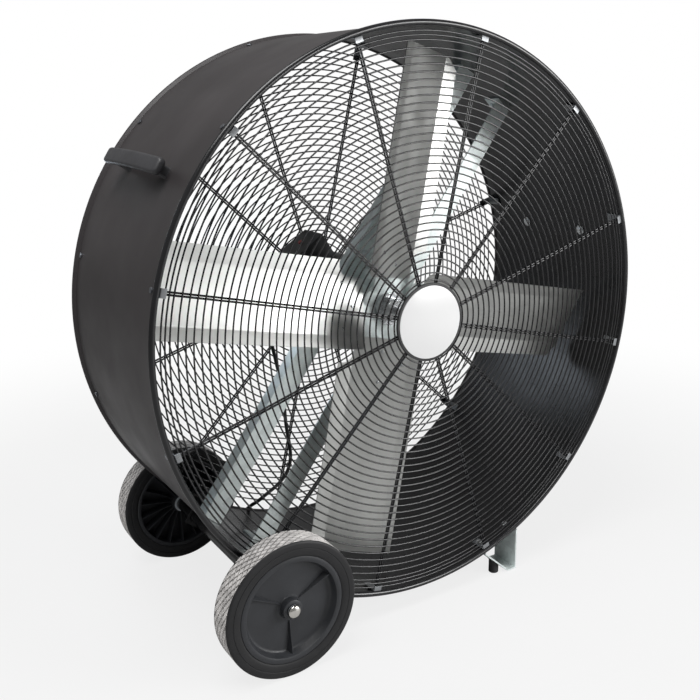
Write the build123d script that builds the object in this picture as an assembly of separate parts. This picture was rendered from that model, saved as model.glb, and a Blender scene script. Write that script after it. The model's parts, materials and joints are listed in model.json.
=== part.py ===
from build123d import *
import math
import os

# Drum fan on two wheels: a rolled steel drum, a wire guard at each end, and a
# four-blade rotor driven straight off the shaft of a motor that two angle struts carry.
# Millimetres. X is to the right seen from the front, Y runs from front to back, Z is up.
# Everything is drawn about the drum's centre, and moved at the end so that the origin
# lies on the floor, under the middle of the fan's outline.

# ---- drum ----
DRUM_RADIUS = 540.0
DRUM_WALL = 2.0
DRUM_DEPTH = 435.0
BEAD_RADIUS = 5.5
BEAD_STANDS_OUT = 1.0

# ---- guards ----
RING_WIRE = 3.8
RING_PITCH = 13.47
RIM_RING_INSETS = (11.0, 18.5)
FRONT_OUTER_INSET = 26.6
REAR_OUTER_INSET = 25.0
FRONT_INNER_LIMIT = 78.0
REAR_INNER_LIMIT = 60.0
FEW_SIDES_BELOW = 250.0
OUTER_RING_SIDE_COUNT = 24
INNER_RING_SIDE_COUNT = 12
GUARD_INSET = 4.0
SPOKE_COUNT = 12
SPOKE_WIRE = 4.0
SPOKE_GAP = 3.0
SPOKE_PHASE = 17.3
SPOKE_UNDER_BADGE = 20.0
BADGE_RADIUS = 70.5
BADGE_THICKNESS = 2.0
BADGE_RIM_RADIUS = 75.5
CLIP_WIDTH = 16.0
CLIP_SHEET = 1.8
CLIP_LENGTH = 38.0
FRONT_CLIP_REACH = 19.0
REAR_CLIP_REACH = 30.0
SCREW_HEAD_RADIUS = 5.5
SCREW_HEAD_HEIGHT = 3.2
SCREW_SHANK_RADIUS = 2.4
SCREW_FROM_EDGE = 26.0

# ---- rotor ----
BLADE_COUNT = 4
BLADE_PHASE = 79.1
BLADE_PITCH = 20.0
BLADE_TIP_CLEARANCE = 25.0
BLADE_ROOT_RADIUS = 62.0
BLADE_ROOT_CORNER = 14.0
BLADE_TIP_CHAMFER = 26.0
BLADE_LEADING_BEND_AT = 55.5
BLADE_TRAILING_BEND_AT = 62.0
BLADE_LEADING_WIDTH = 32.5
BLADE_TRAILING_WIDTH = 26.0
BLADE_LEADING_BEND = 17.0
BLADE_TRAILING_BEND = 7.0
BLADE_SHEET = 2.0
LEADING_STRIP_START = 118.0
LEADING_ROOT_ARC = 20.0
LEADING_ROOT_RISE = 7.0
ROTOR_PLANE = -75.0
SPIDER_SHEET = 4.0
SPIDER_DISC_RADIUS = 62.0
SPIDER_ARM_START = 35.0
SPIDER_ARM_END = 168.0
SPIDER_ARM_MARGIN = 13.0
SPIDER_ARM_CHAMFER = 34.0
RIVET_INNER = 89.0
RIVET_OUTER = 152.0
RIVET_MIDDLE = 111.5
RIVET_SPREAD = 45.5
RIVET_OFFSET = 3.0
RIVET_RADIUS = 4.5
RIVET_HEAD = 2.2
HUB_RADIUS = 24.0
HUB_LENGTH = 62.0
COLLAR_RADIUS = 33.0
COLLAR_LENGTH = 12.0
SET_SCREW_RADIUS = 4.0

# ---- motor and its struts ----
STRUT_DIRECTION = 54.6
STRUT_OFFSET = 64.0
STRUT_WIDTH = 42.0
STRUT_DEPTH = 30.0
STRUT_SHEET = 3.0
STRUT_FRONT = 4.0
STRUT_TAB_DEPTH = 44.0
TAB_GAP = 0.8
STRUT_BOLT_SPACING = 24.0
PLATE_LENGTH = 200.0
PLATE_THICKNESS = 4.0
PLATE_BORE_RADIUS = 30.0
PLATE_BOLT_SPACING = 160.0
MOTOR_RADIUS = 81.5
MOTOR_SHELL_WALL = 3.5
FRONT_BELL_LENGTH = 29.0
SHELL_LENGTH = 110.0
REAR_BELL_LENGTH = 35.0
BELL_WALL = 6.0
BELL_RIM = 6.0
BELL_CHAMFER = 5.0
BEARING_RADIUS = 17.5
BEARING_WIDTH = 11.0
BEARING_BOSS_WALL = 4.5
SHAFT_RADIUS = 8.0
SHAFT_NOSE = 14.0
STATOR_BORE_RADIUS = 48.0
STATOR_LENGTH = 70.0
WINDING_LENGTH = 14.0
WINDING_RADIUS = 68.0
WINDING_INSET = 4.0
WINDING_SIDE_COUNT = 24
AIR_GAP = 0.5
THROUGH_BOLT_CIRCLE = 72.0
THROUGH_BOLT_SPREAD = 28.0
THROUGH_BOLT_RADIUS = 2.5

# ---- terminal box on the motor ----
BOX_ANGLE = 124.0
BOX_WIDTH = 76.0
BOX_LENGTH = 76.0
BOX_TOP_RADIUS = 129.0
BOX_WALL = 2.5
COVER_THICKNESS = 3.0
COVER_OVERHANG = 2.0
SWITCH_PLACE = 100.5
SWITCH_SIZE = 24.0
GLAND_PLACE = 115.0
GLAND_FROM_MIDDLE = 18.0
BUTTON_RADIUS = 5.0
BUTTON_STANDS_OUT = 4.0
BUTTON_TRAVEL = 2.0
BUTTON_FROM_MIDDLE = 0.0
KNOB_RADIUS = 16.0
KNOB_LENGTH = 15.0
KNOB_STEM_RADIUS = 3.0
CAPACITOR_RADIUS = 15.0
CAPACITOR_LENGTH = 58.0
GLAND_RADIUS = 10.0
GLAND_NUT_LENGTH = 9.0
GLAND_TAPER_LENGTH = 22.0

# ---- wheels and axle ----
AXLE_ANGLE = -126.4
AXLE_STANDOFF = 26.5
WHEEL_RADIUS = 127.0
WHEEL_WIDTH = 52.0
WHEEL_GAP = 10.2
TYRE_THICKNESS = 27.0
TYRE_SHOULDER = 6.0
RIM_BARREL = 8.0
RIM_WEB = 5.0
RIM_WEB_DEPTH = 17.0
RIM_HUB_RADIUS = 20.0
OUTER_RIB_COUNT = 3
INNER_RIB_COUNT = 16
RIB_THICKNESS = 4.0
AXLE_RADIUS = 6.35
AXLE_TUBE_RADIUS = 14.0
AXLE_TUBE_WALL = 7.5
AXLE_WASHER_RADIUS = 18.0
AXLE_WASHER = 1.8
CAP_RADIUS = 10.0
CAP_LENGTH = 8.0
AXLE_BRACKET_SHEET = 4.0
AXLE_BRACKET_WIDTH = 36.0
AXLE_BRACKET_FOOT = 34.0
AXLE_BRACKET_FROM_END = 67.5

# ---- feet ----
FOOT_STRIP_WIDTH = 66.0
FOOT_LEFT_ARM_WIDTH = 38.0
FOOT_SHEET = 3.0
FOOT_ARM_SPREAD = 71.0
FOOT_WEB_WIDTH = 23.0
FOOT_BOLT_INSET = 12.6
FOOT_FLANGE = 26.0
FOOT_OFF_FLOOR = 1.2
FOOT_CLIP_INDEX = 9
PAD_RADIUS = 10.5
PAD_FROM_WEB = 24.0
PAD_FROM_FRONT = 19.0

# ---- handles ----
LEFT_HANDLE_ANGLE = 147.5
RIGHT_HANDLE_ANGLE = 12.7
HANDLE_LENGTH = 205.0
HANDLE_WIDTH = 30.0
HANDLE_HEIGHT = 41.0
HANDLE_END_HEIGHT = 32.0
HANDLE_FOOT_LENGTH = 27.0
HANDLE_CLEAR_MIDDLE = 25.0
HANDLE_CLEAR_END = 15.0
HANDLE_CHAMFER = 4.0
HANDLE_BOLT_SPACING = 174.0
HANDLE_BOLT_DEPTH = 10.0

# ---- fasteners ----
BOLT_RADIUS = 3.0
BOLT_HEAD_RADIUS = 6.5
BOLT_HEAD_HEIGHT = 4.0
BOLT_WASHER_RADIUS = 11.0
BOLT_WASHER = 1.5

# ---- supply cord ----
CORD_RADIUS = 4.0
CORD_SIDES = 6
COIL_SIDES = 4
COIL_OUTER_RADIUS = 54.0
COIL_STEP = 10.25
COIL_LAYER_STEP = 9.5
COIL_TURNS_PER_LAYER = 2.5
COIL_LEAD_IN = 35.0
COIL_X = 400.0
COIL_Y = 294.0
PLUG_LENGTH = 34.0
PLUG_WIDTH = 26.0
PLUG_THICKNESS = 20.0
PLUG_NECK = 14.0

# ---- clearances ----
RUNNING = 0.06
SEAT = 0.2

# ---- places worked out from the sizes above ----
HALF_DEPTH = DRUM_DEPTH / 2
INNER_RADIUS = DRUM_RADIUS - DRUM_WALL
BEAD_CENTRE = DRUM_RADIUS + BEAD_STANDS_OUT
BEAD_INNER = BEAD_CENTRE - BEAD_RADIUS
BEAD_FLAT = BEAD_RADIUS * math.cos(math.radians(30))
FRONT_RIM_RINGS = tuple(INNER_RADIUS - inset for inset in RIM_RING_INSETS)
FRONT_OUTER_RING = INNER_RADIUS - FRONT_OUTER_INSET
REAR_OUTER_RING = INNER_RADIUS - REAR_OUTER_INSET
BLADE_TIP_RADIUS = INNER_RADIUS - BLADE_TIP_CLEARANCE
RING_PLANE = HALF_DEPTH - GUARD_INSET
SPOKE_PLANE = RING_PLANE - RING_WIRE / 2 - SPOKE_WIRE / 2
AXLE_PLACE_RADIUS = DRUM_RADIUS + AXLE_STANDOFF
AXLE_BRACKET_PLACE = HALF_DEPTH - AXLE_BRACKET_FROM_END
AXLE_X = AXLE_PLACE_RADIUS * math.cos(math.radians(AXLE_ANGLE))
AXLE_Z = AXLE_PLACE_RADIUS * math.sin(math.radians(AXLE_ANGLE))
FLOOR = AXLE_Z - WHEEL_RADIUS
WHEEL_INNER_FACE = HALF_DEPTH + WHEEL_GAP
WHEEL_MIDDLE = WHEEL_INNER_FACE + WHEEL_WIDTH / 2
PLATE_FRONT = STRUT_FRONT + STRUT_SHEET
MOTOR_FRONT = PLATE_FRONT + PLATE_THICKNESS
SHELL_FRONT = MOTOR_FRONT + FRONT_BELL_LENGTH
SHELL_BACK = SHELL_FRONT + SHELL_LENGTH
MOTOR_BACK = SHELL_BACK + REAR_BELL_LENGTH
STATOR_MIDDLE = (SHELL_FRONT + SHELL_BACK) / 2
BOX_BACK = MOTOR_BACK
BOX_MIDDLE = BOX_BACK - BOX_LENGTH / 2
HUB_FRONT = ROTOR_PLANE - HUB_LENGTH / 2
HUB_BACK = ROTOR_PLANE + HUB_LENGTH / 2
FOOT_FRONT = -HALF_DEPTH
FOOT_WEB_BOTTOM = FLOOR + FOOT_OFF_FLOOR
FOOT_CLIP_ANGLE = SPOKE_PHASE + FOOT_CLIP_INDEX * 360 / SPOKE_COUNT
FOOT_LEFT_ARM_TOP = DRUM_RADIUS * math.cos(math.radians(FOOT_CLIP_ANGLE)) - FOOT_BOLT_INSET
FOOT_WEB_LEFT = FOOT_LEFT_ARM_TOP + FOOT_ARM_SPREAD
FOOT_WEB_RIGHT = FOOT_WEB_LEFT + FOOT_WEB_WIDTH
PAD_X = FOOT_WEB_LEFT - PAD_FROM_WEB


def polar(radius, angle, y=0.0):
    """The point at a radius and an angle about the drum's axis."""
    turn = math.radians(angle)
    return Vector(radius * math.cos(turn), y, radius * math.sin(turn))


def facing_front(y):
    """A plane across the drum: its x is X, its y is Z, and it faces the front."""
    return Plane(origin=(0, y, 0), x_dir=(1, 0, 0), z_dir=(0, -1, 0))


def on_wall(radius, angle, y=0.0):
    """A plane square to a radius: x runs to the back, y round the drum, z outward."""
    turn = math.radians(angle)
    return Plane(origin=polar(radius, angle, y), x_dir=(0, 1, 0), z_dir=(math.cos(turn), 0, math.sin(turn)))


def round_bar(radius, y_from, y_to, x=0.0, z=0.0):
    """A bar along Y between two depths."""
    circle = Pos(x, z) * Circle(radius)
    return extrude(facing_front(y_to) * circle, y_to - y_from)


def turned(points, x=0.0, z=0.0):
    """A solid of revolution about a line along Y, from (radius, y) points."""
    outline = make_face(Polyline(*points, close=True))
    return Pos(x, 0, z) * revolve(outline, Axis.Y, 360)


def mirrored_back(shape):
    """The same piece at the other end of the drum."""
    return mirror(shape, Plane.XZ)


def bent_sheet(points, thickness):
    """The section of a strip bent along the points, which lie on its one face."""
    count = len(points)
    normals = []
    for i in range(count - 1):
        dx = points[i + 1][0] - points[i][0]
        dy = points[i + 1][1] - points[i][1]
        length = math.hypot(dx, dy)
        normals.append((-dy / length, dx / length))
    far_side = []
    for i, (x, y) in enumerate(points):
        before = normals[max(i - 1, 0)]
        after = normals[min(i, count - 2)]
        share = 1 + before[0] * after[0] + before[1] * after[1]
        reach = thickness / share
        far_side.append((x + reach * (before[0] + after[0]), y + reach * (before[1] + after[1])))
    return make_face(Polyline(*points, *reversed(far_side), close=True))


def hexagon_prism(radius, height, plane):
    """A six-sided head or nut standing on a plane."""
    return extrude(plane * RegularPolygon(radius, 6), height)


# ---------------------------------------------------------------- drum

def drum_shell():
    """The rolled sheet between the beads."""
    depth = DRUM_DEPTH - 2 * (BEAD_RADIUS + BEAD_FLAT)
    wall = Pos(INNER_RADIUS + DRUM_WALL / 2, 0) * Rectangle(DRUM_WALL, depth)
    return revolve(wall, Axis.Y, 360)


def drum_beads():
    """The hoop rolled round each end, face to face with the sheet's edge."""
    section = Pos(BEAD_CENTRE, BEAD_RADIUS - HALF_DEPTH) * RegularPolygon(BEAD_RADIUS, 6)
    front = revolve(section, Axis.Y, 360)
    return Compound(children=[front, mirrored_back(front)])


def drum_envelope():
    """The space that the drum fills, with a little room, to fit brackets against it."""
    body = round_bar(DRUM_RADIUS + SEAT, -HALF_DEPTH, HALF_DEPTH)
    bead_reach = BEAD_CENTRE + BEAD_RADIUS + SEAT
    bead_length = 2 * BEAD_RADIUS + 2 * SEAT
    front = round_bar(bead_reach, -HALF_DEPTH - SEAT, -HALF_DEPTH - SEAT + bead_length)
    return body + front + mirrored_back(front)


# ---------------------------------------------------------------- guards

def guard_ring(radius, y, sides):
    """One wire ring, faceted: a triangle swept round a polygon, its point against the spokes."""
    corners = [polar(radius, 360 / sides * i, y) for i in range(sides)]
    middle = (corners[0] + corners[-1]) / 2
    path = Polyline(middle, *corners, middle)
    inward = (0, -math.copysign(1, y), 0)
    plane = Plane(origin=middle, z_dir=corners[0] - middle, x_dir=inward)
    section = plane * RegularPolygon(RING_WIRE / 2, 3)
    return sweep(section, path=path, transition=Transition.RIGHT)


def guard_rings(outer, inner_limit, y):
    """The rings from the rim inward, evenly spaced."""
    rings = []
    radius = outer
    while radius > inner_limit:
        sides = INNER_RING_SIDE_COUNT if radius < FEW_SIDES_BELOW else OUTER_RING_SIDE_COUNT
        rings.append(guard_ring(radius, y, sides))
        radius -= RING_PITCH
    return rings


def guard_spokes(inner, outer, y):
    """Doubled wires that the rings are welded to, as two bars a spoke."""
    bar = Box(outer - inner, SPOKE_WIRE, SPOKE_WIRE)
    bars = []
    for i in range(SPOKE_COUNT):
        angle = SPOKE_PHASE + i * 360 / SPOKE_COUNT
        for side in (-1, 1):
            local = Pos((inner + outer) / 2, side * (SPOKE_WIRE + SPOKE_GAP) / 2, 0) * bar
            bars.append(facing_front(y) * Rot(0, 0, angle) * local)
    return bars


def front_guard():
    """Rings in front, spokes behind them, out to the clips at the rim."""
    rings = guard_rings(FRONT_OUTER_RING, FRONT_INNER_LIMIT, -RING_PLANE)
    rings += [guard_ring(radius, -RING_PLANE, OUTER_RING_SIDE_COUNT) for radius in FRONT_RIM_RINGS]
    spokes = guard_spokes(BADGE_RADIUS - SPOKE_UNDER_BADGE, FRONT_RIM_RINGS[0], -SPOKE_PLANE)
    return Compound(children=rings + spokes)


def rear_guard():
    """The same guard at the back, with no badge and rings further in."""
    rings = guard_rings(REAR_OUTER_RING, REAR_INNER_LIMIT, RING_PLANE)
    spokes = guard_spokes(REAR_INNER_LIMIT, REAR_OUTER_RING + RING_WIRE / 2, SPOKE_PLANE)
    return Compound(children=rings + spokes)


def badge_rim():
    """The black dish that holds the badge against the front spokes."""
    back = -SPOKE_PLANE - SPOKE_WIRE / 2
    front = back - (RING_WIRE + BADGE_THICKNESS)
    dish = round_bar(BADGE_RIM_RADIUS, front, back)
    return dish - round_bar(BADGE_RADIUS + SEAT, front - 1, front + BADGE_THICKNESS)


def badge():
    """The plain round badge."""
    back = -SPOKE_PLANE - SPOKE_WIRE / 2 - RING_WIRE
    return round_bar(BADGE_RADIUS, back - BADGE_THICKNESS, back)


def clip_angles():
    """Where the clips stand round the rim: one at each spoke."""
    return [SPOKE_PHASE + i * 360 / SPOKE_COUNT for i in range(SPOKE_COUNT)]


def guard_clips(reach):
    """Bent straps inside the front rim that hold the outer rings."""
    outer = BEAD_INNER - SEAT
    front = -RING_PLANE - RING_WIRE / 4 - SEAT
    points = [
        (front - CLIP_SHEET + CLIP_LENGTH, outer),
        (front - CLIP_SHEET, outer),
        (front - CLIP_SHEET, outer - reach),
    ]
    section = bent_sheet(points, CLIP_SHEET)
    clips = []
    for angle in clip_angles():
        turn = math.radians(angle)
        across = Vector(-math.sin(turn), 0, math.cos(turn))
        plane = Plane(origin=across * (CLIP_WIDTH / 2), x_dir=(0, 1, 0), z_dir=across * -1)
        clips.append(extrude(plane * section, CLIP_WIDTH))
    return Compound(children=clips)


def clip_screws():
    """Screws from outside the drum into the front clips, but for the one that a foot's bolt holds."""
    y = -HALF_DEPTH + SCREW_FROM_EDGE
    inner = BEAD_INNER - SEAT - CLIP_SHEET
    screws = []
    angles = clip_angles()
    angles.pop(FOOT_CLIP_INDEX)
    for angle in angles:
        head = hexagon_prism(SCREW_HEAD_RADIUS, SCREW_HEAD_HEIGHT, on_wall(DRUM_RADIUS, angle, y))
        shank = hexagon_prism(SCREW_SHANK_RADIUS, DRUM_RADIUS - inner, on_wall(inner, angle, y))
        screws.append(head + shank)
    return Compound(children=screws)


# ---------------------------------------------------------------- struts and motor plate

def strut_plane():
    """Faces the front with its x along the struts."""
    turn = math.radians(STRUT_DIRECTION)
    return Plane(origin=(0, STRUT_FRONT, 0), x_dir=(math.cos(turn), 0, math.sin(turn)), z_dir=(0, -1, 0))


def strut(side):
    """An angle strut across the drum with a tab at each end; side 1 is the upper left one."""
    half = STRUT_WIDTH / 2
    face = Pos(0, side * STRUT_OFFSET, -STRUT_SHEET / 2) * Box(2 * DRUM_RADIUS, STRUT_WIDTH, STRUT_SHEET)
    flange_place = side * (STRUT_OFFSET + half - STRUT_SHEET / 2)
    flange = Pos(0, flange_place, -STRUT_DEPTH / 2) * Box(2 * DRUM_RADIUS, STRUT_SHEET, STRUT_DEPTH)
    reach = INNER_RADIUS - 1.0
    bore = round_bar(reach, STRUT_FRONT - 1, STRUT_FRONT + STRUT_DEPTH + 1)
    body = (strut_plane() * (face + flange)) & bore
    for holes in plate_bolt_places():
        body -= six_sided_hole(BOLT_RADIUS, holes, STRUT_FRONT - 1, PLATE_FRONT + 1)
    return body + [strut_tab(side, end) for end in (-1, 1)]


def strut_end_angle(side, end):
    """The angle about the drum's axis at which a strut meets the wall."""
    lean = math.degrees(math.asin(STRUT_OFFSET / INNER_RADIUS))
    return STRUT_DIRECTION + (side * lean if end > 0 else 180 - side * lean)


def strut_tab(side, end):
    """The end of a strut, bent back flat against the wall."""
    plane = on_wall(INNER_RADIUS - TAB_GAP, strut_end_angle(side, end), STRUT_FRONT + STRUT_TAB_DEPTH / 2)
    return plane * Pos(0, 0, -STRUT_SHEET / 2) * Box(STRUT_TAB_DEPTH, STRUT_WIDTH, STRUT_SHEET)


def strut_bolts():
    """Two bolts at each strut end, heads inside and nuts outside."""
    bolts = []
    inner = INNER_RADIUS - TAB_GAP - STRUT_SHEET
    for side in (-1, 1):
        for end in (-1, 1):
            angle = strut_end_angle(side, end)
            for step in (-0.5, 0.5):
                y = STRUT_FRONT + STRUT_TAB_DEPTH / 2 + step * STRUT_BOLT_SPACING
                bolts.append(wall_bolt(inner, DRUM_RADIUS, angle, y))
    return Compound(children=bolts)


def wall_bolt(inner, outer, angle, y):
    """A bolt through the wall: its head inside at one radius, its nut outside at the other."""
    head = hexagon_prism(BOLT_HEAD_RADIUS, BOLT_HEAD_HEIGHT, on_wall(inner - BOLT_HEAD_HEIGHT, angle, y))
    nut = hexagon_prism(BOLT_HEAD_RADIUS, BOLT_HEAD_HEIGHT, on_wall(outer, angle, y))
    shank = hexagon_prism(BOLT_RADIUS, outer - inner, on_wall(inner, angle, y))
    return head + shank + nut


def plate_bolt_places():
    """Where the motor plate is bolted to the struts."""
    plane = strut_plane()
    places = []
    for side in (-1, 1):
        for end in (-1, 1):
            along = end * PLATE_BOLT_SPACING / 2
            places.append(plane.from_local_coords(Vector(along, side * STRUT_OFFSET, 0)))
    return places


def through_bolt_places():
    """Where the long bolts run through the motor."""
    turns = (THROUGH_BOLT_SPREAD, -THROUGH_BOLT_SPREAD, 180 + THROUGH_BOLT_SPREAD, 180 - THROUGH_BOLT_SPREAD)
    return [polar(THROUGH_BOLT_CIRCLE, STRUT_DIRECTION + turn) for turn in turns]


def six_sided_hole(radius, place, y_from, y_to):
    """A six-sided way along Y for a bolt."""
    section = Pos(place.X, place.Z) * RegularPolygon(radius + 2 * SEAT, 6)
    return extrude(facing_front(y_to) * section, y_to - y_from)


def motor_plate():
    """The square plate behind the struts that carries the motor."""
    width = 2 * (STRUT_OFFSET + STRUT_WIDTH / 2 - STRUT_SHEET) - 1.0
    sheet = Box(PLATE_LENGTH, width, PLATE_THICKNESS)
    plate = strut_plane() * Pos(0, 0, -STRUT_SHEET - PLATE_THICKNESS / 2) * sheet
    plate -= round_bar(PLATE_BORE_RADIUS, PLATE_FRONT - 1, MOTOR_FRONT + 1)
    for place in plate_bolt_places():
        plate -= six_sided_hole(BOLT_RADIUS, place, PLATE_FRONT - 1, MOTOR_FRONT + 1)
    for place in through_bolt_places():
        plate -= six_sided_hole(THROUGH_BOLT_RADIUS, place, PLATE_FRONT - 1, MOTOR_FRONT + 1)
    return plate


def plate_bolts():
    """Bolts from the struts' front faces through the motor plate."""
    bolts = []
    for place in plate_bolt_places():
        front = Plane(origin=(place.X, STRUT_FRONT, place.Z), x_dir=(1, 0, 0), z_dir=(0, -1, 0))
        back = Plane(origin=(place.X, MOTOR_FRONT, place.Z), x_dir=(1, 0, 0), z_dir=(0, 1, 0))
        shank = hexagon_prism(BOLT_RADIUS, -(MOTOR_FRONT - STRUT_FRONT), front)
        bolts.append(hexagon_prism(BOLT_HEAD_RADIUS, BOLT_HEAD_HEIGHT, front) + shank
                     + hexagon_prism(BOLT_HEAD_RADIUS, BOLT_HEAD_HEIGHT, back))
    return Compound(children=bolts)


# ---------------------------------------------------------------- motor

def motor_bell(face, rim):
    """An end bell from its closed face to its open rim, with the bearing's seat in a boss."""
    way = 1 if rim > face else -1
    boss = BEARING_RADIUS + BEARING_BOSS_WALL
    seat = face + way * (BELL_WALL + 1)
    points = [
        (SHAFT_RADIUS + 1, face),
        (MOTOR_RADIUS - BELL_CHAMFER, face),
        (MOTOR_RADIUS, face + way * BELL_CHAMFER),
        (MOTOR_RADIUS, rim),
        (MOTOR_RADIUS - BELL_RIM, rim),
        (MOTOR_RADIUS - BELL_RIM, face + way * BELL_WALL),
        (boss, face + way * BELL_WALL),
        (boss, seat + way * BEARING_WIDTH),
        (BEARING_RADIUS, seat + way * BEARING_WIDTH),
        (BEARING_RADIUS, seat),
        (SHAFT_RADIUS + 1, seat),
    ]
    bell = turned(points)
    low = min(face, face + way * BELL_WALL) - 1
    high = max(face, face + way * BELL_WALL) + 1
    for place in through_bolt_places():
        bell -= six_sided_hole(THROUGH_BOLT_RADIUS, place, low, high)
    return bell


def bearing(face, way):
    """A ball bearing's outline, on the shaft and in its bell."""
    start = face + way * (BELL_WALL + 1)
    end = start + way * BEARING_WIDTH
    return turned([(SHAFT_RADIUS + RUNNING, start), (BEARING_RADIUS, start), (BEARING_RADIUS, end),
                   (SHAFT_RADIUS + RUNNING, end)])


def motor_bearings():
    """The two bearings."""
    return Compound(children=[bearing(MOTOR_FRONT, 1), bearing(MOTOR_BACK, -1)])


def motor_shell():
    """The rolled shell between the bells."""
    outside = round_bar(MOTOR_RADIUS, SHELL_FRONT, SHELL_BACK)
    return outside - round_bar(MOTOR_RADIUS - MOTOR_SHELL_WALL, SHELL_FRONT - 1, SHELL_BACK + 1)


def stator_core():
    """The laminated ring, with a way through for each long bolt."""
    low = STATOR_MIDDLE - STATOR_LENGTH / 2
    high = STATOR_MIDDLE + STATOR_LENGTH / 2
    core = round_bar(MOTOR_RADIUS - MOTOR_SHELL_WALL, low, high)
    core -= round_bar(STATOR_BORE_RADIUS, low - 1, high + 1)
    for place in through_bolt_places():
        core -= six_sided_hole(THROUGH_BOLT_RADIUS, place, low - 1, high + 1)
    return core


def stator_windings():
    """The coil ends that stand out of the core, as many-sided rings."""
    start = STATOR_LENGTH / 2
    outer = RegularPolygon(WINDING_RADIUS, WINDING_SIDE_COUNT)
    inner = RegularPolygon(STATOR_BORE_RADIUS + WINDING_INSET, WINDING_SIDE_COUNT)
    ring = extrude(facing_front(start + WINDING_LENGTH) * (outer - inner), WINDING_LENGTH)
    middle = Pos(0, STATOR_MIDDLE, 0)
    return Compound(children=[middle * ring, middle * mirrored_back(ring)])


def through_bolts():
    """The four long bolts that clamp the bells and hold the motor to its plate."""
    bolts = []
    for place in through_bolt_places():
        front = Plane(origin=(place.X, PLATE_FRONT, place.Z), x_dir=(1, 0, 0), z_dir=(0, -1, 0))
        back = Plane(origin=(place.X, MOTOR_BACK, place.Z), x_dir=(1, 0, 0), z_dir=(0, 1, 0))
        shank = hexagon_prism(THROUGH_BOLT_RADIUS, -(MOTOR_BACK - PLATE_FRONT), front)
        bolts.append(hexagon_prism(BOLT_HEAD_RADIUS - 1, BOLT_HEAD_HEIGHT, front) + shank
                     + hexagon_prism(BOLT_HEAD_RADIUS - 1, BOLT_HEAD_HEIGHT, back))
    return Compound(children=bolts)


def motor_shaft():
    """The shaft from the rear bearing to the hub's nose."""
    back = MOTOR_BACK - BELL_WALL
    return round_bar(SHAFT_RADIUS, HUB_FRONT - SHAFT_NOSE, back)


def rotor_core():
    """The squirrel cage on the shaft."""
    low = STATOR_MIDDLE - STATOR_LENGTH / 2
    high = STATOR_MIDDLE + STATOR_LENGTH / 2
    return round_bar(STATOR_BORE_RADIUS - AIR_GAP, low, high) - round_bar(SHAFT_RADIUS, low - 1, high + 1)


# ---------------------------------------------------------------- terminal box

def box_plane():
    """The box's own frame: x to the back, y round the motor, z outward, origin on the axis."""
    return on_wall(0.0, BOX_ANGLE, BOX_MIDDLE)


def terminal_box():
    """A sheet box saddled on the motor shell, open outward."""
    bottom = MOTOR_RADIUS - 10
    height = BOX_TOP_RADIUS - bottom
    outside = Pos(0, 0, bottom + height / 2) * Box(BOX_LENGTH, BOX_WIDTH, height)
    floor = MOTOR_RADIUS + SEAT + BOX_WALL
    inner_height = BOX_TOP_RADIUS - floor
    cavity = Box(BOX_LENGTH - 2 * BOX_WALL, BOX_WIDTH - 2 * BOX_WALL, inner_height)
    inside = Pos(0, 0, floor + inner_height / 2) * cavity
    box = box_plane() * (outside - inside)
    box -= round_bar(MOTOR_RADIUS + SEAT, BOX_BACK - BOX_LENGTH - 1, BOX_BACK + 1)
    stem = polar(SWITCH_PLACE, BOX_ANGLE)
    box -= round_bar(KNOB_STEM_RADIUS + RUNNING, BOX_BACK - BOX_WALL - 1, BOX_BACK + 1, stem.X, stem.Z)
    gland = gland_plane() * Pos(0, 0, -BOX_WALL - 1) * extrude(Circle(CORD_RADIUS + 1), BOX_WALL + 2)
    return box - gland


def box_cover():
    """The lid, with a hole for the reset button."""
    sheet = Box(BOX_LENGTH + COVER_OVERHANG, BOX_WIDTH + COVER_OVERHANG, COVER_THICKNESS)
    lid = Pos(0, 0, BOX_TOP_RADIUS + COVER_THICKNESS / 2) * sheet
    bore = extrude(Circle(BUTTON_RADIUS + RUNNING), COVER_THICKNESS + 2)
    hole = Pos(BUTTON_FROM_MIDDLE, 0, BOX_TOP_RADIUS - 1) * bore
    return box_plane() * (lid - hole)


def reset_button():
    """The red button of the thermal cut-out."""
    length = COVER_THICKNESS + BUTTON_STANDS_OUT + BUTTON_TRAVEL
    low = BOX_TOP_RADIUS - BUTTON_TRAVEL
    return box_plane() * Pos(BUTTON_FROM_MIDDLE, 0, low) * extrude(Circle(BUTTON_RADIUS), length)


def capacitor():
    """The run capacitor, lying in the box."""
    low = BOX_MIDDLE - CAPACITOR_LENGTH / 2
    centre = MOTOR_RADIUS + SEAT + BOX_WALL + CAPACITOR_RADIUS + SEAT
    place = box_plane().from_local_coords(Vector(0, -BOX_WIDTH / 4 - 1, centre))
    return round_bar(CAPACITOR_RADIUS, low, low + CAPACITOR_LENGTH, place.X, place.Z)


def speed_switch():
    """The switch body behind the box's rear wall."""
    size = SWITCH_SIZE
    centre_y = BOX_BACK - BOX_WALL - size / 2 - SEAT
    plane = on_wall(SWITCH_PLACE, BOX_ANGLE, centre_y)
    body = plane * Pos(0, SWITCH_SIZE / 2 - 5, 0) * Box(size, size, size)
    stem = polar(SWITCH_PLACE, BOX_ANGLE)
    socket = round_bar(KNOB_STEM_RADIUS + RUNNING, centre_y, centre_y + size, stem.X, stem.Z)
    return body - socket


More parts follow.
